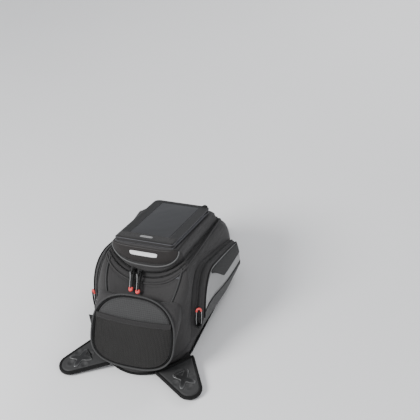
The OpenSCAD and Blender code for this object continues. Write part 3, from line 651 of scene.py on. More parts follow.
def face_point(x, y, h=0.0):
    a = x / FACE_HALF
    b = (y - FACE_MID) / where(y < FACE_MID, FACE_LOW, FACE_HIGH)
    crown = FACE_CROWN * maximum(0, 1 - np.abs(a) ** 2.4) * maximum(0, 1 - np.abs(b) ** 2.4)
    return FACE_FOOT + vec(x, 0, 0) + y[..., None] * FACE_UP + (crown + h)[..., None] * FACE_OUT


def face_plane(a, r):
    s = sin(a)
    y = FACE_MID + where(s < 0, FACE_LOW * rounded(s, 2.8), FACE_HIGH * rounded(s, 2.6)) * r
    return FACE_HALF * rounded(cos(a), 2.6) * r, y


def face_at(a, r, h=0.0):
    return face_point(*face_plane(a, r), h)


def foot_at(a, r):
    s = sin(a)
    t = 0.4 + where(s < 0, 0.27, 0.34) * rounded(s, 2.4) * r
    return body_at(0.74 * rounded(cos(a), 2.4) * r, t, 0.9)


TURN = linspace(0, 2 * pi, 241) + radians(1)
A, R = meshgrid(TURN, concatenate([linspace(0.001, 0.9, 34), linspace(0.915, 1, 10)]))
puff = 0.9 * ripple(A * 3, R * 7, 21, 1.4) * smooth(0.95, 0.5, R) * smooth(0.0, 0.3, R)
gutter = -2.4 * smooth(0.925, 0.95, R) * smooth(0.995, 0.965, R)
edge, foot = face_at(TURN, 1.0), foot_at(TURN, 1.0)
away = unit(edge - edge.mean(0))
wall = []
for k in linspace(0, 1, 15):
    swell = 1.2 * sin(pi * k) + 0.5 * sin(3 * pi * k) * ripple(TURN[:, None] * 5, k * 3, 22, 1.5)
    wall.append(mix(edge, foot, k) + 2.0 * sin(pi * k) * FACE_OUT + away * swell)
pocket = Build()
pocket.grid(face_at(A, R, puff + gutter), True, 0.5 * bump_at(R, 0.9, 0.02), 1, stack(face_plane(A, R), -1))
pocket.grid(stack(wall), True, linspace(0.4, 0, 15)[:, None])
pocket.grid(stack([foot_at(TURN, k) for k in (1, 0.7, 0.4, 0.001)]), True)
pocket.make("pocket_cloth", "bag", "front_pocket", "ripstop_fabric", SHELL, RIPSTOP)

piping = Build().tube(face_at(TURN[:-1], 1.012, 1.3), 1.7, FACE_OUT, True, 12)
piping.make("pocket_piping", "bag", "front_pocket_piping", "piping_cord", PIPING)
channel = Build().tube(face_at(TURN[:-1], 0.962, -1.0), 1.5, FACE_OUT, True, 10)
channel.make("pocket_channel", "bag", "", "binding_tape", TAPE)
stitch_row("bag", face_at(TURN, 0.905, 0.35), FACE_OUT)
stitch_row("bag", mix(edge, foot, 0.16) + away * 0.9 + 0.6 * FACE_OUT, away + 0.3 * FACE_OUT)

MESH_HALF, MESH_LINE, MESH_SAG = 0.93, 86.0, 3.0  # its half width and depth are parts of the face's


def mesh_top(x):
    return MESH_LINE - MESH_SAG * (1 - x * x)


def mesh_bottom(x):
    return FACE_MID - FACE_LOW * MESH_HALF * maximum(0, 1 - np.abs(x) ** 2.8) ** (1 / 2.8)


def hem_point(x, k, h):
    """A point of the mesh's hem, k of the way up it."""
    return face_point(x * FACE_HALF * MESH_HALF, mesh_top(x) - 7 + 9 * k, h)


X, Y = meshgrid(0.985 * sin(linspace(-pi / 2, pi / 2, 260)), linspace(0, 0.93, 120))
run_x, run_y = X * FACE_HALF * MESH_HALF, mix(mesh_bottom(X), mesh_top(X), Y)
ribs = 0.28 * cos(2 * pi * run_x / 2.4) + 0.16 * cos(2 * pi * run_y / 1.9)
drape = 0.9 * sin(pi * Y) * (0.5 + 0.5 * ripple(run_x * 0.05, run_y * 0.07, 31, 1.6)) * (1 - np.abs(X) ** 6)
net = Build().slab(face_point(run_x, run_y, 1.6 + ribs + drape), face_point(run_x, run_y, 1.0 + drape))
net.make("pocket_net", "bag", "front_mesh", "mesh_fabric", NET)

X, Y = meshgrid(0.985 * sin(linspace(-pi / 2, pi / 2, 160)), linspace(0, 1, 13))
roll = 1.1 * np.sqrt(maximum(0, 1 - (2 * Y - 1) ** 6)) + 0.25 * ripple(X * 9, Y * 2, 33, 1.0)
hem = Build().slab(hem_point(X, Y, 2.0 + roll), hem_point(X, Y, 1.9))
hem.make("net_hem", "bag", "front_mesh_hem", "binding_tape", HEM)
for k in (0.2, 0.8):
    stitch_row("bag", hem_point(linspace(-0.97, 0.97, 90), k, 3.2), FACE_OUT)

# ---- Side pockets, drawn for the right side ----
SEWN = dict(near=0.985, far=2.1, top=0.877, fall=0.75, rise=0.33)
EDGE = dict(near=1.06, far=2.06, top=0.752, fall=0.695, rise=0.36)
FOOT, DEPTH = 0.04, 15.0
OUT_X = arr(1, 0, 0)


def pocket_line(line, a, b):
    """A point over the body's side: a runs along the pocket, and b up to its arched top."""
    arch = (1 - line["fall"] * a) * np.sqrt(maximum(0, 1 - (1 - minimum(a / line["rise"], 1)) ** 2))
    return body_at(mix(line["near"], line["far"], a), FOOT + b * (line["top"] * arch - FOOT), GAP)


def sewn_point(a, b):
    return pocket_line(SEWN, a, b)


def panel_depth(a, b):
    low, high = mix(3, DEPTH + 1, minimum(1, a / 0.6)), mix(DEPTH + 4, DEPTH - 2, a)
    crown = 4 * maximum(0, sin(pi * clip(a, 0, 1))) ** 0.7 * maximum(0, sin(pi * clip(b, 0, 1)))
    return mix(low, high, np.sqrt(maximum(0, b))) + crown


def panel_point(a, b, h=0.0):
    a, b = np.broadcast_arrays(a, b)
    return pocket_line(EDGE, a, b) + (panel_depth(a, b) + h)[..., None] * OUT_X


def gusset_raw(a):
    return (sewn_point(a, 1.0) + panel_point(a, 1.0)) / 2


def gusset_run(a):
    return gusset_raw(a + 0.003) - gusset_raw(a - 0.003)


def gusset_across(a):
    return unit(panel_point(a, 1.0) - sewn_point(a, 1.0))


def gusset_out(a):
    return unit(cross(gusset_across(a), gusset_run(a)))


def on_gusset(a, k, h):
    return gusset_raw(a) + k * gusset_across(a) + h * gusset_out(a)


def panel_low(a):
    return mix(0.3, 0.1, a)


def patch_low(a):
    return where(a < 0.5, mix(0.86, 0.41, (a - 0.24) / 0.26), mix(0.41, 0.45, (a - 0.5) / 0.5))


def hug(a, b, s):
    """How the pocket's face swells and sinks, and all that is sewn on it."""
    return 0.7 * ripple(a * 9, b * 4, 41 + s, 1.3) * sin(pi * b)


def curve(n, power):
    return 0.01 + 0.985 * linspace(0, 1, n) ** power


for s, name in SIDES:
    a = curve(90, 1.5)
    A, B = meshgrid(a, linspace(0, 1, 40), indexing="ij")
    cushion = Build(s)
    cushion.grid(panel_point(A, B, hug(A, B, s) * smooth(0, 0.1, A)), wear=0.5 * smooth(0.92, 1, B))
    gusset = []
    for k in linspace(0, 1, 21):
        lift = sin(pi * k) * (0.9 + 0.35 * ripple(a * 22, k * 4, 43 + s, 1.2))
        gusset.append(mix(panel_point(a, 1.0), sewn_point(a, 1.0), k) + lift[:, None] * gusset_out(a))
    cushion.grid(stack(gusset, 1), wear=maximum(0, 1 - linspace(0, 5, 21)))
    cushion.grid(stack([mix(sewn_point(a, 0.0), panel_point(a, 0.0), k) for k in (0, 0.5, 1)], 1))
    for end, flip in ((a[0], True), (a[-1], False)):
        cushion.grid(stack([panel_point(end, B[0]), sewn_point(end, B[0])], 1), flip)
    cushion.make(f"side_cloth_{name}", "bag", f"side_pocket_{name}", "shell_fabric", SHELL)

    P, Q = meshgrid(linspace(0.03, 0.965, 70), linspace(0, 1, 26), indexing="ij")
    b = mix(panel_low(P), 0.955, Q)
    swell = hug(P, b, s) * smooth(0, 0.1, P)
    fade = smooth(0, 0.06, Q) * smooth(1, 0.94, Q)
    sheet = Build(s)
    sheet.slab(panel_point(P, b, 0.9 + 0.7 * fade + swell), panel_point(P, b, 0.5 + swell), 0.3 * (1 - fade))
    sheet.make(f"side_silver_{name}", "bag", f"side_panel_{name}", "silver_fabric", SILVER)
    b = mix(0.02, panel_low(P) - 0.015, Q)
    strip = Build(s).slab(panel_point(P, b, 1.0), panel_point(P, b, 0.3), 0.4 * (1 - fade))
    strip.make(f"side_strip_{name}", "bag", "", "patch_fabric", STRIP)
    P, Q = meshgrid(linspace(0.24, 0.955, 60), linspace(0, 1, 20), indexing="ij")
    b = mix(patch_low(P), 0.94, Q)
    rim, swell = smooth(0, 0.05, Q) * smooth(1, 0.95, Q), hug(P, b, s)
    patch = Build(s)
    patch.slab(panel_point(P, b, 2.2 + 0.6 * rim + swell), panel_point(P, b, 1.7 + swell), 0.5 * (1 - rim))
    patch.make(f"side_patch_cloth_{name}", "bag", f"side_patch_{name}", "patch_fabric", PATCH)

    low, high = linspace(0.03, 0.965, 90), linspace(0.245, 0.955, 60)
    edging = Build(s).tube(panel_point(curve(140, 1.8) * 0.985, 1.0, 1.0), 1.4, arr(s, 0, 0), sides=12)
    edging.tube(panel_point(low, panel_low(low) - 0.008, 1.2), 1.1, arr(s, 0, 0))
    edging.make(f"side_piping_cord_{name}", "bag", f"side_piping_{name}", "binding_tape", TAPE)
    for a, b, h in ((low, panel_low(low) + 0.035, 2.0), (low, 0.93, 1.9), (high, patch_low(high) + 0.03, 3.0),
                    (high, 0.9, 3.0)):
        stitch_row("bag", panel_point(a, b, h + hug(a, b, s)), OUT_X, s)

    a = 0.004 + 0.93 * linspace(0, 1, 160) ** 1.8
    track = Build(s)
    coil(track, on_gusset(a, 0, 2.2), gusset_out(a))
    over, below = [stack([on_gusset(a, k, h) for k in (-4.5, -2, 0, 2, 4.5)]) for h in (1.35, 0.6)]
    track.slab(over, below, kind=1)
    track.make(f"side_teeth_{name}", "bag", f"side_zip_{name}", "zip_coil", COIL, SHELL)
    for k in (-3.7, 3.7):
        stitch_row("bag", on_gusset(a, k, 1.5), gusset_out(a), s)
    a = curve(120, 1.6) * 0.98
    stitch_row("bag", sewn_point(a, 1.0) + 0.9 * gusset_out(a) + 1.6 * gusset_across(a), gusset_out(a), s)


# ---- Lid ----
def lid_slack(u, t):
    """The lid's cloth lies slack between its seams, and tight at the zip and round its flat top."""
    room = smooth(0.12, 0.3, t) * smooth(1, 0.9, t)
    calm = 1 - 0.7 * smooth(1.0, 0.85, np.abs(u))
    return room * calm * (0.75 * ripple(u * 3.4, t * 5, 61, 2.4) + 0.3 * ripple(u * 9, t * 12, 62, 2.6))


def to_spine(p, k):
    """Moves points of the lid's brim towards the middle line of its flat top."""
    y = clip(p[..., 1], 5, 95)
    return mix(p, vec(0, y, lid_z(y)), k)


def bar(half_x, half_y, count, reaches):
    """A bar with rounded ends as rings round its middle, and how far out each ring lies."""
    turn, reach = meshgrid(linspace(0, 2 * pi, count), reaches)
    return half_x * rounded(cos(turn), 5) * reach, half_y * rounded(sin(turn), 5) * reach, reach


U, T = meshgrid(ROUND, runs(0, 6, 0.1, 41, 0.9, 9, 1))
outer, inside = lid_at(U, T, lid_slack(U, T)), lid_inner(U[::3], T[::3])
inwards = linspace(0.02, 1, 18)
top_rows = stack([to_spine(outer[-1], k) - arr(0, 0, 0.25 + 0.5 * sin(pi * k)) for k in inwards])
roof = stack([to_spine(inside[-1] + arr(0, 0, WALL), k) - arr(0, 0, WALL) for k in linspace(0, 1, 9)])
lid = Build()
lid.grid(outer, wear=maximum(0.7 * smooth(0.94, 1, T), smooth(0.03, 0, T)))
lid.grid(top_rows, kind=3, wear=0.4 * smooth(0.15, 0, inwards)[:, None])
lid.grid(stack([outer[-1], top_rows[0]]))
lid.grid(inside, True, kind=1)
lid.grid(roof, True, kind=1)
lid.grid(stack([inside[0], (inside[0] + outer[0]) / 2 - arr(0, 0, 0.3), outer[0]]), kind=2)
lid.make("lid_cloth", "lid", "lid_shell", "shell_fabric", SHELL, LINING, TAPE, HOLDER)

FRONT_SPAN = 0.86


def front_low(u):
    return 0.38 + 0.34 * (np.abs(u) / FRONT_SPAN) ** 5


across = FRONT_SPAN * sin(linspace(-pi / 2, pi / 2, 121))
P, Q = meshgrid(across, linspace(0, 1, 34))
t = mix(front_low(P), 0.915, Q)
rim = smooth(0, 0.06, Q) * smooth(1, 0.94, Q) * smooth(1, 0.985, np.abs(P) / FRONT_SPAN)
slack = lid_slack(P, t)
front = Build().slab(lid_at(P, t, 0.8 + 0.7 * rim + slack), lid_at(P, t, 0.4 + slack), flip=True)
front.make("lid_front_skin", "lid", "lid_front_panel", "lid_panel_skin", SKIN)
t = front_low(across) + 0.035
sew("lid", across, t, 1.7 + lid_slack(across, t))

# The piping runs under the front panel and, as a thin seam, on up to the edge of the lid's top.
u = 1.06 * FRONT_SPAN * sin(linspace(-pi / 2, pi / 2, 181))
t = front_low(u) - 0.09
cord_on("lid", u, t, 1.35, 1.3).make("lid_piping_cord", "lid", "lid_piping", "piping_cord", PALE_PIPING)
for shift in (-0.04, 0.045):
    stitch_row("lid", lid_at(u, t + shift, 0.35 + lid_slack(u, t + shift)), outward(lid_raw, u, t))
for s, name in SIDES:
    k = linspace(0, 1, 60)
    u, t = s * mix(0.912, 1.66, k), 0.745 + 0.245 * k ** 0.8
    height = 0.35 + lid_slack(u, t)
    cord_on("lid", u, t, height, 0.9, 10).make(f"lid_seam_{name}", "lid", "", "piping_cord", HEM)
    stitch_row("lid", lid_at(u, t - 0.035, height), outward(lid_raw, u, t))
    u = s * linspace(1.02, 2.45, 120)
    sew("lid", u, 0.2, 0.4 + lid_slack(u, 0.2))

# A plain pale bar with rounded ends and a sunken middle stands where the lid carries its mark.
u, t, reach = bar(0.142, 0.07, 97, (0.001, 0.4, 0.66, 0.7, 0.74, 0.9, 0.96, 1.0))
rise = np.select([reach < 0.68, reach < 0.92, reach < 0.98], [0.45, 0.85, 0.7], 0.35)
t = t + 0.705
mark = Build().grid(lid_at(u, t, 2.0 + rise))
mark.grid(stack([lid_at(u[-1], t[-1], h) for h in (2.35, 1.4)]))
mark.make("lid_mark", "lid", "lid_emblem", "emblem_rubber", EMBLEM)

# ---- Phone holder ----
SLOPE = np.arctan(TILT)
HOLD_Y, HOLD_Z = arr(0, cos(SLOPE), -sin(SLOPE)), arr(0, sin(SLOPE), cos(SLOPE))
HOLD_AT = arr(0, 134, lid_z(134)) + 0.8 * HOLD_Z
HOLD_HALF, HOLD_LONG, SHEET, SLOT = 54.0, 178.0, 1.2, 6.2
FACE = 2 * SHEET + SLOT
WINDOW_HALF, WINDOW_NEAR, WINDOW_FAR = 37, -159, -9
BAND_HALF, BAND_NEAR, BAND_FAR, MARK_Y = 52.3, -177.2, -153, -165


def hold(x, y, z):
    return HOLD_AT + vec(x, 0, 0) + vec(0, y, y) * HOLD_Y + vec(0, z, z) * HOLD_Z


def round_loop(half, low, high, near, far, side=36, corner=9):
    """A rounded rectangle, anticlockwise from its near side's left end."""
    def arc(cx, cy, r, start):
        a = radians(linspace(start, start + 90, corner + 1))[1:]
        return stack([cx + r * cos(a), cy + r * sin(a)], 1)
    def run(x0, y0, x1, y1):
        return mix(arr(x0, y0), arr(x1, y1), linspace(0, 1, side + 1)[1:, None])
    return concatenate([
        run(-half + near, low, half - near, low), arc(half - near, low + near, near, -90),
        run(half, low + near, half, high - far), arc(half - far, high - far, far, 0),
        run(half - far, high, -half + far, high), arc(-half + far, high - far, far, 90),
        run(-half, high - far, -half, low + near), arc(-half + near, low + near, near, 180)])


plate_edge = round_loop(HOLD_HALF, -HOLD_LONG, 0, 4, 10)
window_edge = round_loop(WINDOW_HALF, WINDOW_NEAR, WINDOW_FAR, 2, 2)


def closed_ring(loop, z):
    ring = hold(*loop.T, z)
    return concatenate([ring, ring[:1]])


def plate_rings(*places):
    """Rings of the plate's edge drawn in towards its middle, each with how far in and its height."""
    return stack([closed_ring(mix(plate_edge, arr(0, -HOLD_LONG / 2), k), z) for k, z in places])


back = Build()
back.grid(plate_rings(*[(k, 1.15) for k in (0.999, 0.6, 0.3, 0.1, 0.02)], (0, 0.6)), True, kind=1)
back.grid(plate_rings((0, 0.6), (0.02, 0.1), (0.3, 0.05), (0.999, 0.05)), True)
back.make("holder_back_cloth", "phone_holder", "holder_back", "holder_skin", HOLDER, LINING)

steps = concatenate([linspace(0, 0.12, 4), linspace(0.2, 0.85, 14), linspace(0.9, 1, 6)])
rings = []
for k in steps:
    ring = mix(window_edge, plate_edge, k)
    puff = 0.55 * sin(pi * min(k * 1.05, 1)) ** 0.7
    wave = 0.3 * ripple(ring[:, 0] * 0.06, ring[:, 1] * 0.045, 72, 1.6) * sin(pi * k)
    roll = -1.5 * smooth(0.93, 1.0, k) - 0.25 * smooth(0.06, 0.0, k)
    rings.append(closed_ring(ring, FACE - 0.35 + puff + roll + wave))
below = [closed_ring(mix(window_edge, plate_edge, k), FACE - SHEET - 0.1) for k in (1, 0.6, 0.2, 0)]
wear = 0.7 * smooth(0.95, 1, steps) + 0.3 * smooth(0.06, 0, steps)
cover = Build().grid(stack(rings), wear=wear[:, None])
cover.grid(stack([rings[-1], *below, rings[0]]), kind=1)
cover.make("holder_cover", "phone_holder", "holder_frame", "holder_skin", HOLDER, LINING)


def hem_path(inset_by, keep=14):
    """Round the plate's edge, leaving the rider's right side open but for a stub at each end."""
    loop = round_loop(HOLD_HALF - inset_by, -HOLD_LONG + inset_by, -inset_by, 4, 10, side=60)
    def nearest(y):
        return np.argmin(np.abs(loop[:, 1] - y) + 50 * (loop[:, 0] < HOLD_HALF - inset_by - 1))
    loop = np.roll(loop, -nearest(-keep), 0)
    return loop[:nearest(keep - HOLD_LONG) + 1]


edging = Build().tube(hold(*hem_path(2.3).T, FACE / 2 - 0.1), 2.5, HOLD_Z, squash=1.66, sides=16)
edging.make("holder_edging", "phone_holder", "holder_edge", "holder_skin", HEM)
window_seam = round_loop(WINDOW_HALF + 2.6, WINDOW_NEAR - 2.5, WINDOW_FAR + 2.5, 3, 3, side=60)
for row, h in ((hem_path(6.5, 6), 0.25), (window_seam, -0.05)):
    stitch_row("phone_holder", hold(*row.T, FACE + h), HOLD_Z)

X, Y = meshgrid(linspace(-1, 1, 40), linspace(-1, 1, 70))
bulge = (1 - X ** 2) * (1 - Y ** 4)
x, y = X * (WINDOW_HALF - 0.1), (WINDOW_NEAR + WINDOW_FAR) / 2 + 74.9 * Y
wave = 0.22 * ripple(X * 2, Y * 3.4, 73, 1.3) * bulge
pane = Build().slab(hold(x, y, FACE - 0.75 + 0.55 * bulge + wave), hold(x, y, FACE - 1.1))
pane.make("holder_pane", "phone_holder", "holder_window", "window_film", FILM)

X, Y = meshgrid(linspace(-1, 1, 90), linspace(0, 1, 22))
lift = FACE + 0.3 + 0.75 * (1 - (2 * Y - 1) ** 8) * (1 - X ** 14) + 0.2 * ripple(X * 7, Y * 2, 74, 1.2)
x, y, wear = X * BAND_HALF, mix(BAND_NEAR, BAND_FAR, Y), 0.6 * smooth(0.08, 0, Y) + 0.4 * smooth(0.94, 1, Y)
hem = Build().slab(hold(x, y, lift), hold(x, y, FACE + 0.1), wear)
hem.make("holder_hem", "phone_holder", "holder_band", "holder_skin", HEM)
for y in (BAND_NEAR + 2.8, BAND_FAR - 2.4):
    stitch_row("phone_holder", hold(linspace(-50.5, 50.5, 80), y, FACE + 1.15), HOLD_Z)
x, y, reach = bar(11.5, 3.4, 73, (0.001, 0.5, 0.62, 0.68, 0.9, 0.97, 1.0))
rise = np.select([reach < 0.65, reach < 0.95], [0.25, 0.55], 0.1)
mark = Build().grid(hold(x, MARK_Y + y, FACE + 1.0 + rise))
mark.make("holder_mark", "phone_holder", "", "holder_skin", GREY_MARK)

# A short cloth loop at the holder's far right corner lifts it.
k = linspace(0, pi, 25)
strap = hold(44 - 5.4 * cos(k), -4, FACE - 1.2 + 4.2 * sin(k))
strap = stack([strap + 2.5 * HOLD_Y, strap - 2.5 * HOLD_Y])
Build().slab(strap, strap - 0.9 * HOLD_Z).make("holder_loop", "phone_holder", "", "binding_tape", TAPE)


# ---- Hinge cloths ----
def hinge_cloth(name, spine, half, thick, stands_for, material, ripples=0.4):
    """A strip of cloth along a bent line in the YZ plane, spread across X."""
    run = run_of(spine)
    line = sample(linspace(0, run[-1], 26), run, np.array(spine))
    for _ in range(3):
        line[1:-1] = (line[:-2] + 2 * line[1:-1] + line[2:]) / 4
    ahead = np.gradient(line, axis=0)
    normal = unit(stack([ahead[:, 1], -ahead[:, 0]], 1))
    X, K = meshgrid(linspace(-half, half, 61), np.arange(len(line)))
    wave = ripples * ripple(X * 0.1, K * 0.3, 81, 1.2) * sin(pi * K / (len(line) - 1))
    outer, inner = [np.insert(line[K] + normal[K] * (wave + h)[..., None], 0, X, axis=-1)
                    for h in (thick / 2, -thick / 2)]
    strip = Build().slab(outer, inner, 0.5 * smooth(0.92, 1, np.abs(X) / half))
    obj = strip.make(name, None, stands_for, "shell_fabric", material)
    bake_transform(obj)


LID_SPINE = [(141.2, 101), (144, 108), (145.2, 114), (145.6, 119), (145.6, 125), (144.8, 130)]
HOLDER_SPINE = [(136.6, 134.9), (136.2, 136.2), (135.4, 138.6), (134.9, 140.6), (133.2, 142.6),
                (129.5, 144.3)]
hinge_cloth("lid_hinge_cloth", LID_SPINE, 40, 1.3,
            "lid_hinge_strip", SHELL)
hinge_cloth("holder_hinge_cloth", HOLDER_SPINE, 31, 0.9,
            "holder_hinge_strip", HOLDER, 0.15)

# ---- Magnet flaps, drawn for the right side ----
DROOP = radians(4)
FLAP_TIP, BIND = 22.0, 5.0


class Flap:
    """A flap's own frame: x outwards from its root, y along its hinge line, z up."""

    def __init__(self, root, turn, long, wide):
        c, d = cos(radians(turn)), sin(radians(turn))
        spin = arr([c, -d, 0], [d, c, 0], [0, 0, 1])
        self.long, self.wide, self.root = long, wide, arr(*root)
        self.x, self.y = spin @ arr(cos(DROOP), 0, -sin(DROOP)), spin @ arr(0, 1, 0)
        self.z = spin @ arr(sin(DROOP), 0, cos(DROOP))

    def at(self, x, y, z):
        x, y, z = [v[..., None] for v in np.broadcast_arrays(x, y, z)]
        return self.root + x * self.x + y * self.y + z * self.z

    def outline(self, d):
        """The flap's edge, drawn in by d: one side, the round tip, the other side and the root."""
        straight, half = self.long - FLAP_TIP, self.wide / 2
        taper = np.arcsin((half - FLAP_TIP) / straight)
        a = linspace(-pi / 2 + taper, pi / 2 - taper, 60)
        tip = stack([straight + (FLAP_TIP - d) * cos(a), (FLAP_TIP - d) * sin(a)], 1)
        low, high, k = arr(d, d - half), arr(d, half - d), linspace(0, 1, 30)[:-1, None]
        return concatenate([mix(low, tip[0], k), tip, mix(tip[-1], high, k)[1:], mix(high, low, k)])


REAR, FRONT = Flap((67, -127.9, 11.2), -44, 83, 74), Flap((30.5, 166.2, 11.2), 98, 73, 56)
for end, flap in (("rear", REAR), ("front", FRONT)):
    for s, side in SIDES:
        body_name = f"{end}_flap_{side}"
        mid = flap.long / 2
        edge = flap.outline(BIND - 0.8)
        edge = concatenate([edge, edge[:1]])
        R = concatenate([linspace(0.001, 0.9, 40), linspace(0.92, 1, 7)])[:, None] * np.ones(len(edge))
        X, Y = mid + (edge[:, 0] - mid) * R, edge[:, 1] * R
        height = 3.5 + 0.75 * (1 - R ** 4) - 1.2 * smooth(0.9, 1, R)
        height += 0.35 * ripple(X * 0.12, Y * 0.12, 91 + s + len(end), 1.4) * (1 - R ** 6)
        for px, py in ((mid, 17), (mid, -17), (mid + 19, 0), (mid - 17, 0)):  # the four dimples
            apart = np.hypot(X - px, Y - py)
            height += 0.6 * bump_at(apart, 7.0, 1.8) - 1.8 * bump_at(apart, 0, 3.6)
        pad = Build(s).grid(flap.at(X, Y, height), wear=0.25 * smooth(0.8, 1, R))
        pad.grid(flap.at(X, Y, -3.6 - 0.5 * (1 - R ** 4)), True, kind=1)
        pad.grid(stack([flap.at(X[-1], Y[-1], h) for h in (2.3, -3.6)]))
        pad.make(f"{body_name}_cloth", body_name, body_name, "flap_rubber", FLAP, RUBBER)

        tape = Build(s).tube(flap.at(*flap.outline(BIND / 2 + 0.1).T, 0), 2.75, flap.z, True, 16, squash=1.55)
        tape.make(f"{body_name}_tape", body_name, f"{end}_binding_{side}", "binding_tape", TAPE)
        seam = flap.outline(BIND - 1.0)[:-29]  # all but the root
        stitch_row(body_name, flap.at(*seam.T, 3.75), flap.z, s)

        a = linspace(0, 2 * pi, 181)
        arm = 9 + 15 * np.abs(sin(2 * a)) ** 3
        rows = ((1.0, -0.6), (0.985, 0.9), (0.93, 1.6), (0.85, 1.95), (0.6, 1.75), (0.3, 1.9), (0.001, 1.95))
        rings = [flap.at(mid + k * arm * cos(a), 0.82 * k * arm * sin(a), 4.1 + h) for k, h in rows]
        # The rings near its rim carry the paler-colour mark: a painted highlight along the ridge's edge.
        ridge = Build(s).grid(stack(rings), True, arr(0, 1, 1, 0.3, 0, 0, 0)[:, None])
        y = linspace(-12.2, 12.2, 21)
        ridge.tube(flap.at(mid - 15.5 - 0.6 * cos(y / 8), y, 4.6), 1.7, flap.z)
        # A near-black sheet lies over the pad in the deep hollow between the bar and the two arms beside it:
        # painted shade for that hollow.
        turn, reach = meshgrid(linspace(0, 2 * pi, 41), (0.05, 0.6, 1.0))
        y = 6.2 * reach * sin(turn) * (1 - 0.45 * cos(turn))
        ridge.grid(flap.at(mid - 12.6 + 2.6 * reach * cos(turn), y, 4.75 - 0.3 * (1 - reach)), True, kind=1)
        ridge.make(f"{body_name}_cross", body_name, f"{end}_ridge_{side}", "flap_rubber", RIDGE, COIL)

        P, Q = meshgrid(linspace(-1, 1, 50), linspace(0, 1, 14))
        x, y = mix(-9.0 - 9.0 * P ** 2, 3.0, Q), P * (flap.wide / 2 - 4)
        drop = mix(-4.6, -0.4, smooth(0, 1, Q)) + 0.3 * ripple(P * 4, Q * 2, 95 + s, 1.0)
        web = Build(s).slab(flap.at(x, y, drop + 0.9), flap.at(x, y, drop - 0.6))
        web = web.make(f"{body_name}_web", None, "", "shell_fabric", HEM)
        start, stop = [flap.at(*p) * arr(s, 1, 1) * MM + ORIGIN for p in ((-4, 0, -3), (3, 0, 0))]
        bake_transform(web)

# ---- Zip pulls ----
PULL_HALF, PULL_LONG, TIP_LONG, SLIDER_TOP = 3.65, 38.0, 6.5, 3.7
STRAIGHT = PULL_LONG - TIP_LONG
MAIN_TIP, SIDE_TIP = 2.3, 3.9  # half width of the moulded end on a main pull and on a side pull


def zip_pull(name, place, x, y, z, tip_half):
    """A cord loop with a moulded end, lying along -y in its own frame."""
    def put(points):
        points = np.asarray(points, float)
        return place + points[..., :1] * x + points[..., 1:2] * y + points[..., 2:] * z
    def leg(s):
        k = linspace(0, 1, 40)
        return stack([s * mix(PULL_HALF, tip_half, smooth(0, 0.5, k)), -1.4 - k * (STRAIGHT - 1.4),
                      0.35 * sin(pi * k)], 1)
    a = linspace(pi, 0, 21)[1:-1]
    bow = vec(-(PULL_HALF - 0.4) * cos(a), -1.6 + 1.6 * sin(a), 0)
    thick = concatenate([mix(1.15, 1.5, sin(linspace(0, pi, 40)) ** 0.5), np.full(19, 1.1)])
    pull = Build()
    pull.tube(put(concatenate([leg(1)[::-1], bow])), thick, z, sides=12)
    pull.tube(put(leg(-1)), thick[:40], z, sides=12)
    # A pale strand along the top of the cord is a painted highlight: on one leg of a main pull, on both legs
    # of a side pull.
    if tip_half == MAIN_TIP:  # the pale thread
        pull.tube(put(leg(-1)[3:-1] + arr(0.25, 0, 1.05)), 0.6, z, sides=8, kind=1)
    else:
        for s in (-1, 1):
            pull.tube(put(leg(s)[6:-1] + arr(0.7 * s, 0, 1.15)), 0.5, z, sides=8, kind=1)
    a = linspace(0, pi, 25)
    tip = vec(-tip_half * cos(a), -PULL_LONG + 1.6 + tip_half - tip_half * sin(a), 0)
    ends = [[(s * tip_half, -STRAIGHT + d, 0) for d in (1.2, -0.4)[::-s]] for s in (-1, 1)]
    width = concatenate([[1.35, 1.75], 1.62 + 0.28 * sin(a) ** 2, [1.75, 1.35]])
    pull.tube(put(concatenate([ends[0], tip, ends[1]])), width, z, sides=16, kind=2)
    for s in (-1, 1):
        for k in (0.0, 1.1):
            rib = put([(s * tip_half, d - STRAIGHT - k, 0) for d in (0.1, -0.5)])
            pull.tube(rib, 1.95, z, sides=14, kind=2)
    if tip_half == MAIN_TIP:  # the web inside the moulded end
        K, L = meshgrid(linspace(-1, 1, 9), linspace(0.35, 1, 12))
        web_x = K * (tip_half - 0.3) * np.sqrt(maximum(0.05, 1 - maximum(0, 1.6 * L - 0.75) ** 2))
        web_y, web_z = mix(-STRAIGHT + 0.2, -PULL_LONG + 2.2, L), 1.35 + 0.15 * cos(pi * K)
        pull.slab(put(vec(web_x, web_y, web_z)), put(vec(web_x, web_y, -web_z)), kind=2)
    pull.make(f"{name}_loop", name, name, "pull_cord", CORD, HIGHLIGHT_CORD, CORAL)


LEAN, YAW = radians(37), radians(10.5)
across = arr(cos(YAW), sin(YAW), 0)
hang = arr(-sin(YAW) * cos(LEAN), cos(YAW) * cos(LEAN), sin(LEAN))
for side, angle in (("left", -15), ("right", -6)):
    zip_pull(f"zip_pull_{side}", zip_arc(radians(angle), 5.3 + SLIDER_TOP), across, hang, cross(across, hang),
             MAIN_TIP)

SIDE_START = 0.005
out = gusset_out(SIDE_START)
flat = unit(cross(gusset_run(SIDE_START), out))
spot = on_gusset(SIDE_START, 0, 3.5 + SLIDER_TOP)
for s, side in SIDES:
    m = arr(s, 1, 1)
    zip_pull(f"side_pull_{side}", spot * m, -flat * m, -cross(out, flat) * m, out * m, SIDE_TIP)

# A blank label folded over and sewn into the seam beside the left pocket.
P, Q = meshgrid(linspace(-1, 1, 24), linspace(-1, 1, 40))
x, y, z = -85.9 + 9.4 * P, -104 + 0.28 * sin(2.2 * Q) + 0.12 * P * Q, 54 + 14.9 * Q
label = Build().slab(vec(x, y - 0.45, z), vec(x, y + 0.45, z))
label.make("label_cloth", "bag", "side_tag", "binding_tape", LABEL)
for z in (41.0, 67.0):
    stitch_row("bag", vec(linspace(-94.6, -77.4, 20), -104.75, z), arr(0, -1, 0), 1, 2.2, 1.5, 0.25)

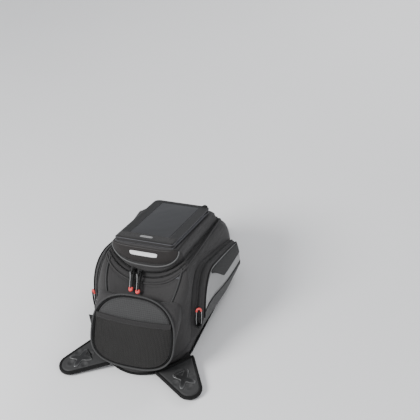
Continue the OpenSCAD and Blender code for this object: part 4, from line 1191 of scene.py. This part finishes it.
# ---- Camera at the photograph's viewing angle, floor and lights ----
AZIMUTH, ELEVATION, ROLL = radians(25.04), radians(39.02), radians(8.15)
DISTANCE, FOCAL = 1.91945, 90.03
TARGET = Vector((0.0498, 0.1182, 0.1321))
back = Vector((sin(AZIMUTH) * cos(ELEVATION), -cos(AZIMUTH) * cos(ELEVATION), sin(ELEVATION)))
level_right = Vector((cos(AZIMUTH), sin(AZIMUTH), 0))
right = cos(ROLL) * level_right - sin(ROLL) * back.cross(level_right)
camera = bpy.data.objects.new("camera", bpy.data.cameras.new("camera"))
camera.data.lens, camera.data.sensor_width = FOCAL, 36.0
camera.data.clip_start, camera.data.clip_end = 0.05, 20.0
camera.matrix_world = (Matrix.Translation(TARGET + DISTANCE * back)
                       @ Matrix((right, back.cross(right), back)).transposed().to_4x4())
bpy.context.scene.collection.objects.link(camera)
bpy.context.scene.camera = camera

for name, place, size, power in (("key", (-1.0, -1.1, 1.25), 0.8, 40), ("fill", (1.3, -1.0, 0.7), 1.0, 7),
                                 ("rim", (0.5, 1.5, 1.1), 0.8, 12)):
    light = bpy.data.objects.new(name, bpy.data.lights.new(name, "AREA"))
    light.data.shape, light.data.size, light.data.energy = "DISK", size, power
    light.location = place
    light.rotation_euler = (Vector((0, 0, 0.08)) - Vector(place)).to_track_quat("-Z", "Y").to_euler()
    bpy.context.scene.collection.objects.link(light)
world = bpy.data.worlds.new("soft")
world.use_nodes = True
world.node_tree.nodes["Background"].inputs[0].default_value = (0.93, 0.95, 1.0, 1)
world.node_tree.nodes["Background"].inputs[1].default_value = 0.6
bpy.context.scene.world = world

ground = Nodes("pale_floor")
tone = ground.noise(ground.place(), 3.0, 2.0)
pale = ground.finish(ground.blend(tone, shade("#eeeeee"), shade("#f4f4f4")), 0.75)
X, Y = meshgrid(linspace(-3500.0, 3500.0, 9), linspace(-3500.0, 3500.0, 9))
Build().grid(vec(X, Y, -0.2)).make("floor", None, "", "", pale)

# ---- Thread and the end ----
for name, build in THREAD.items():
    build.make(f"thread_{name}", name, "", "binding_tape", DARK_THREAD)
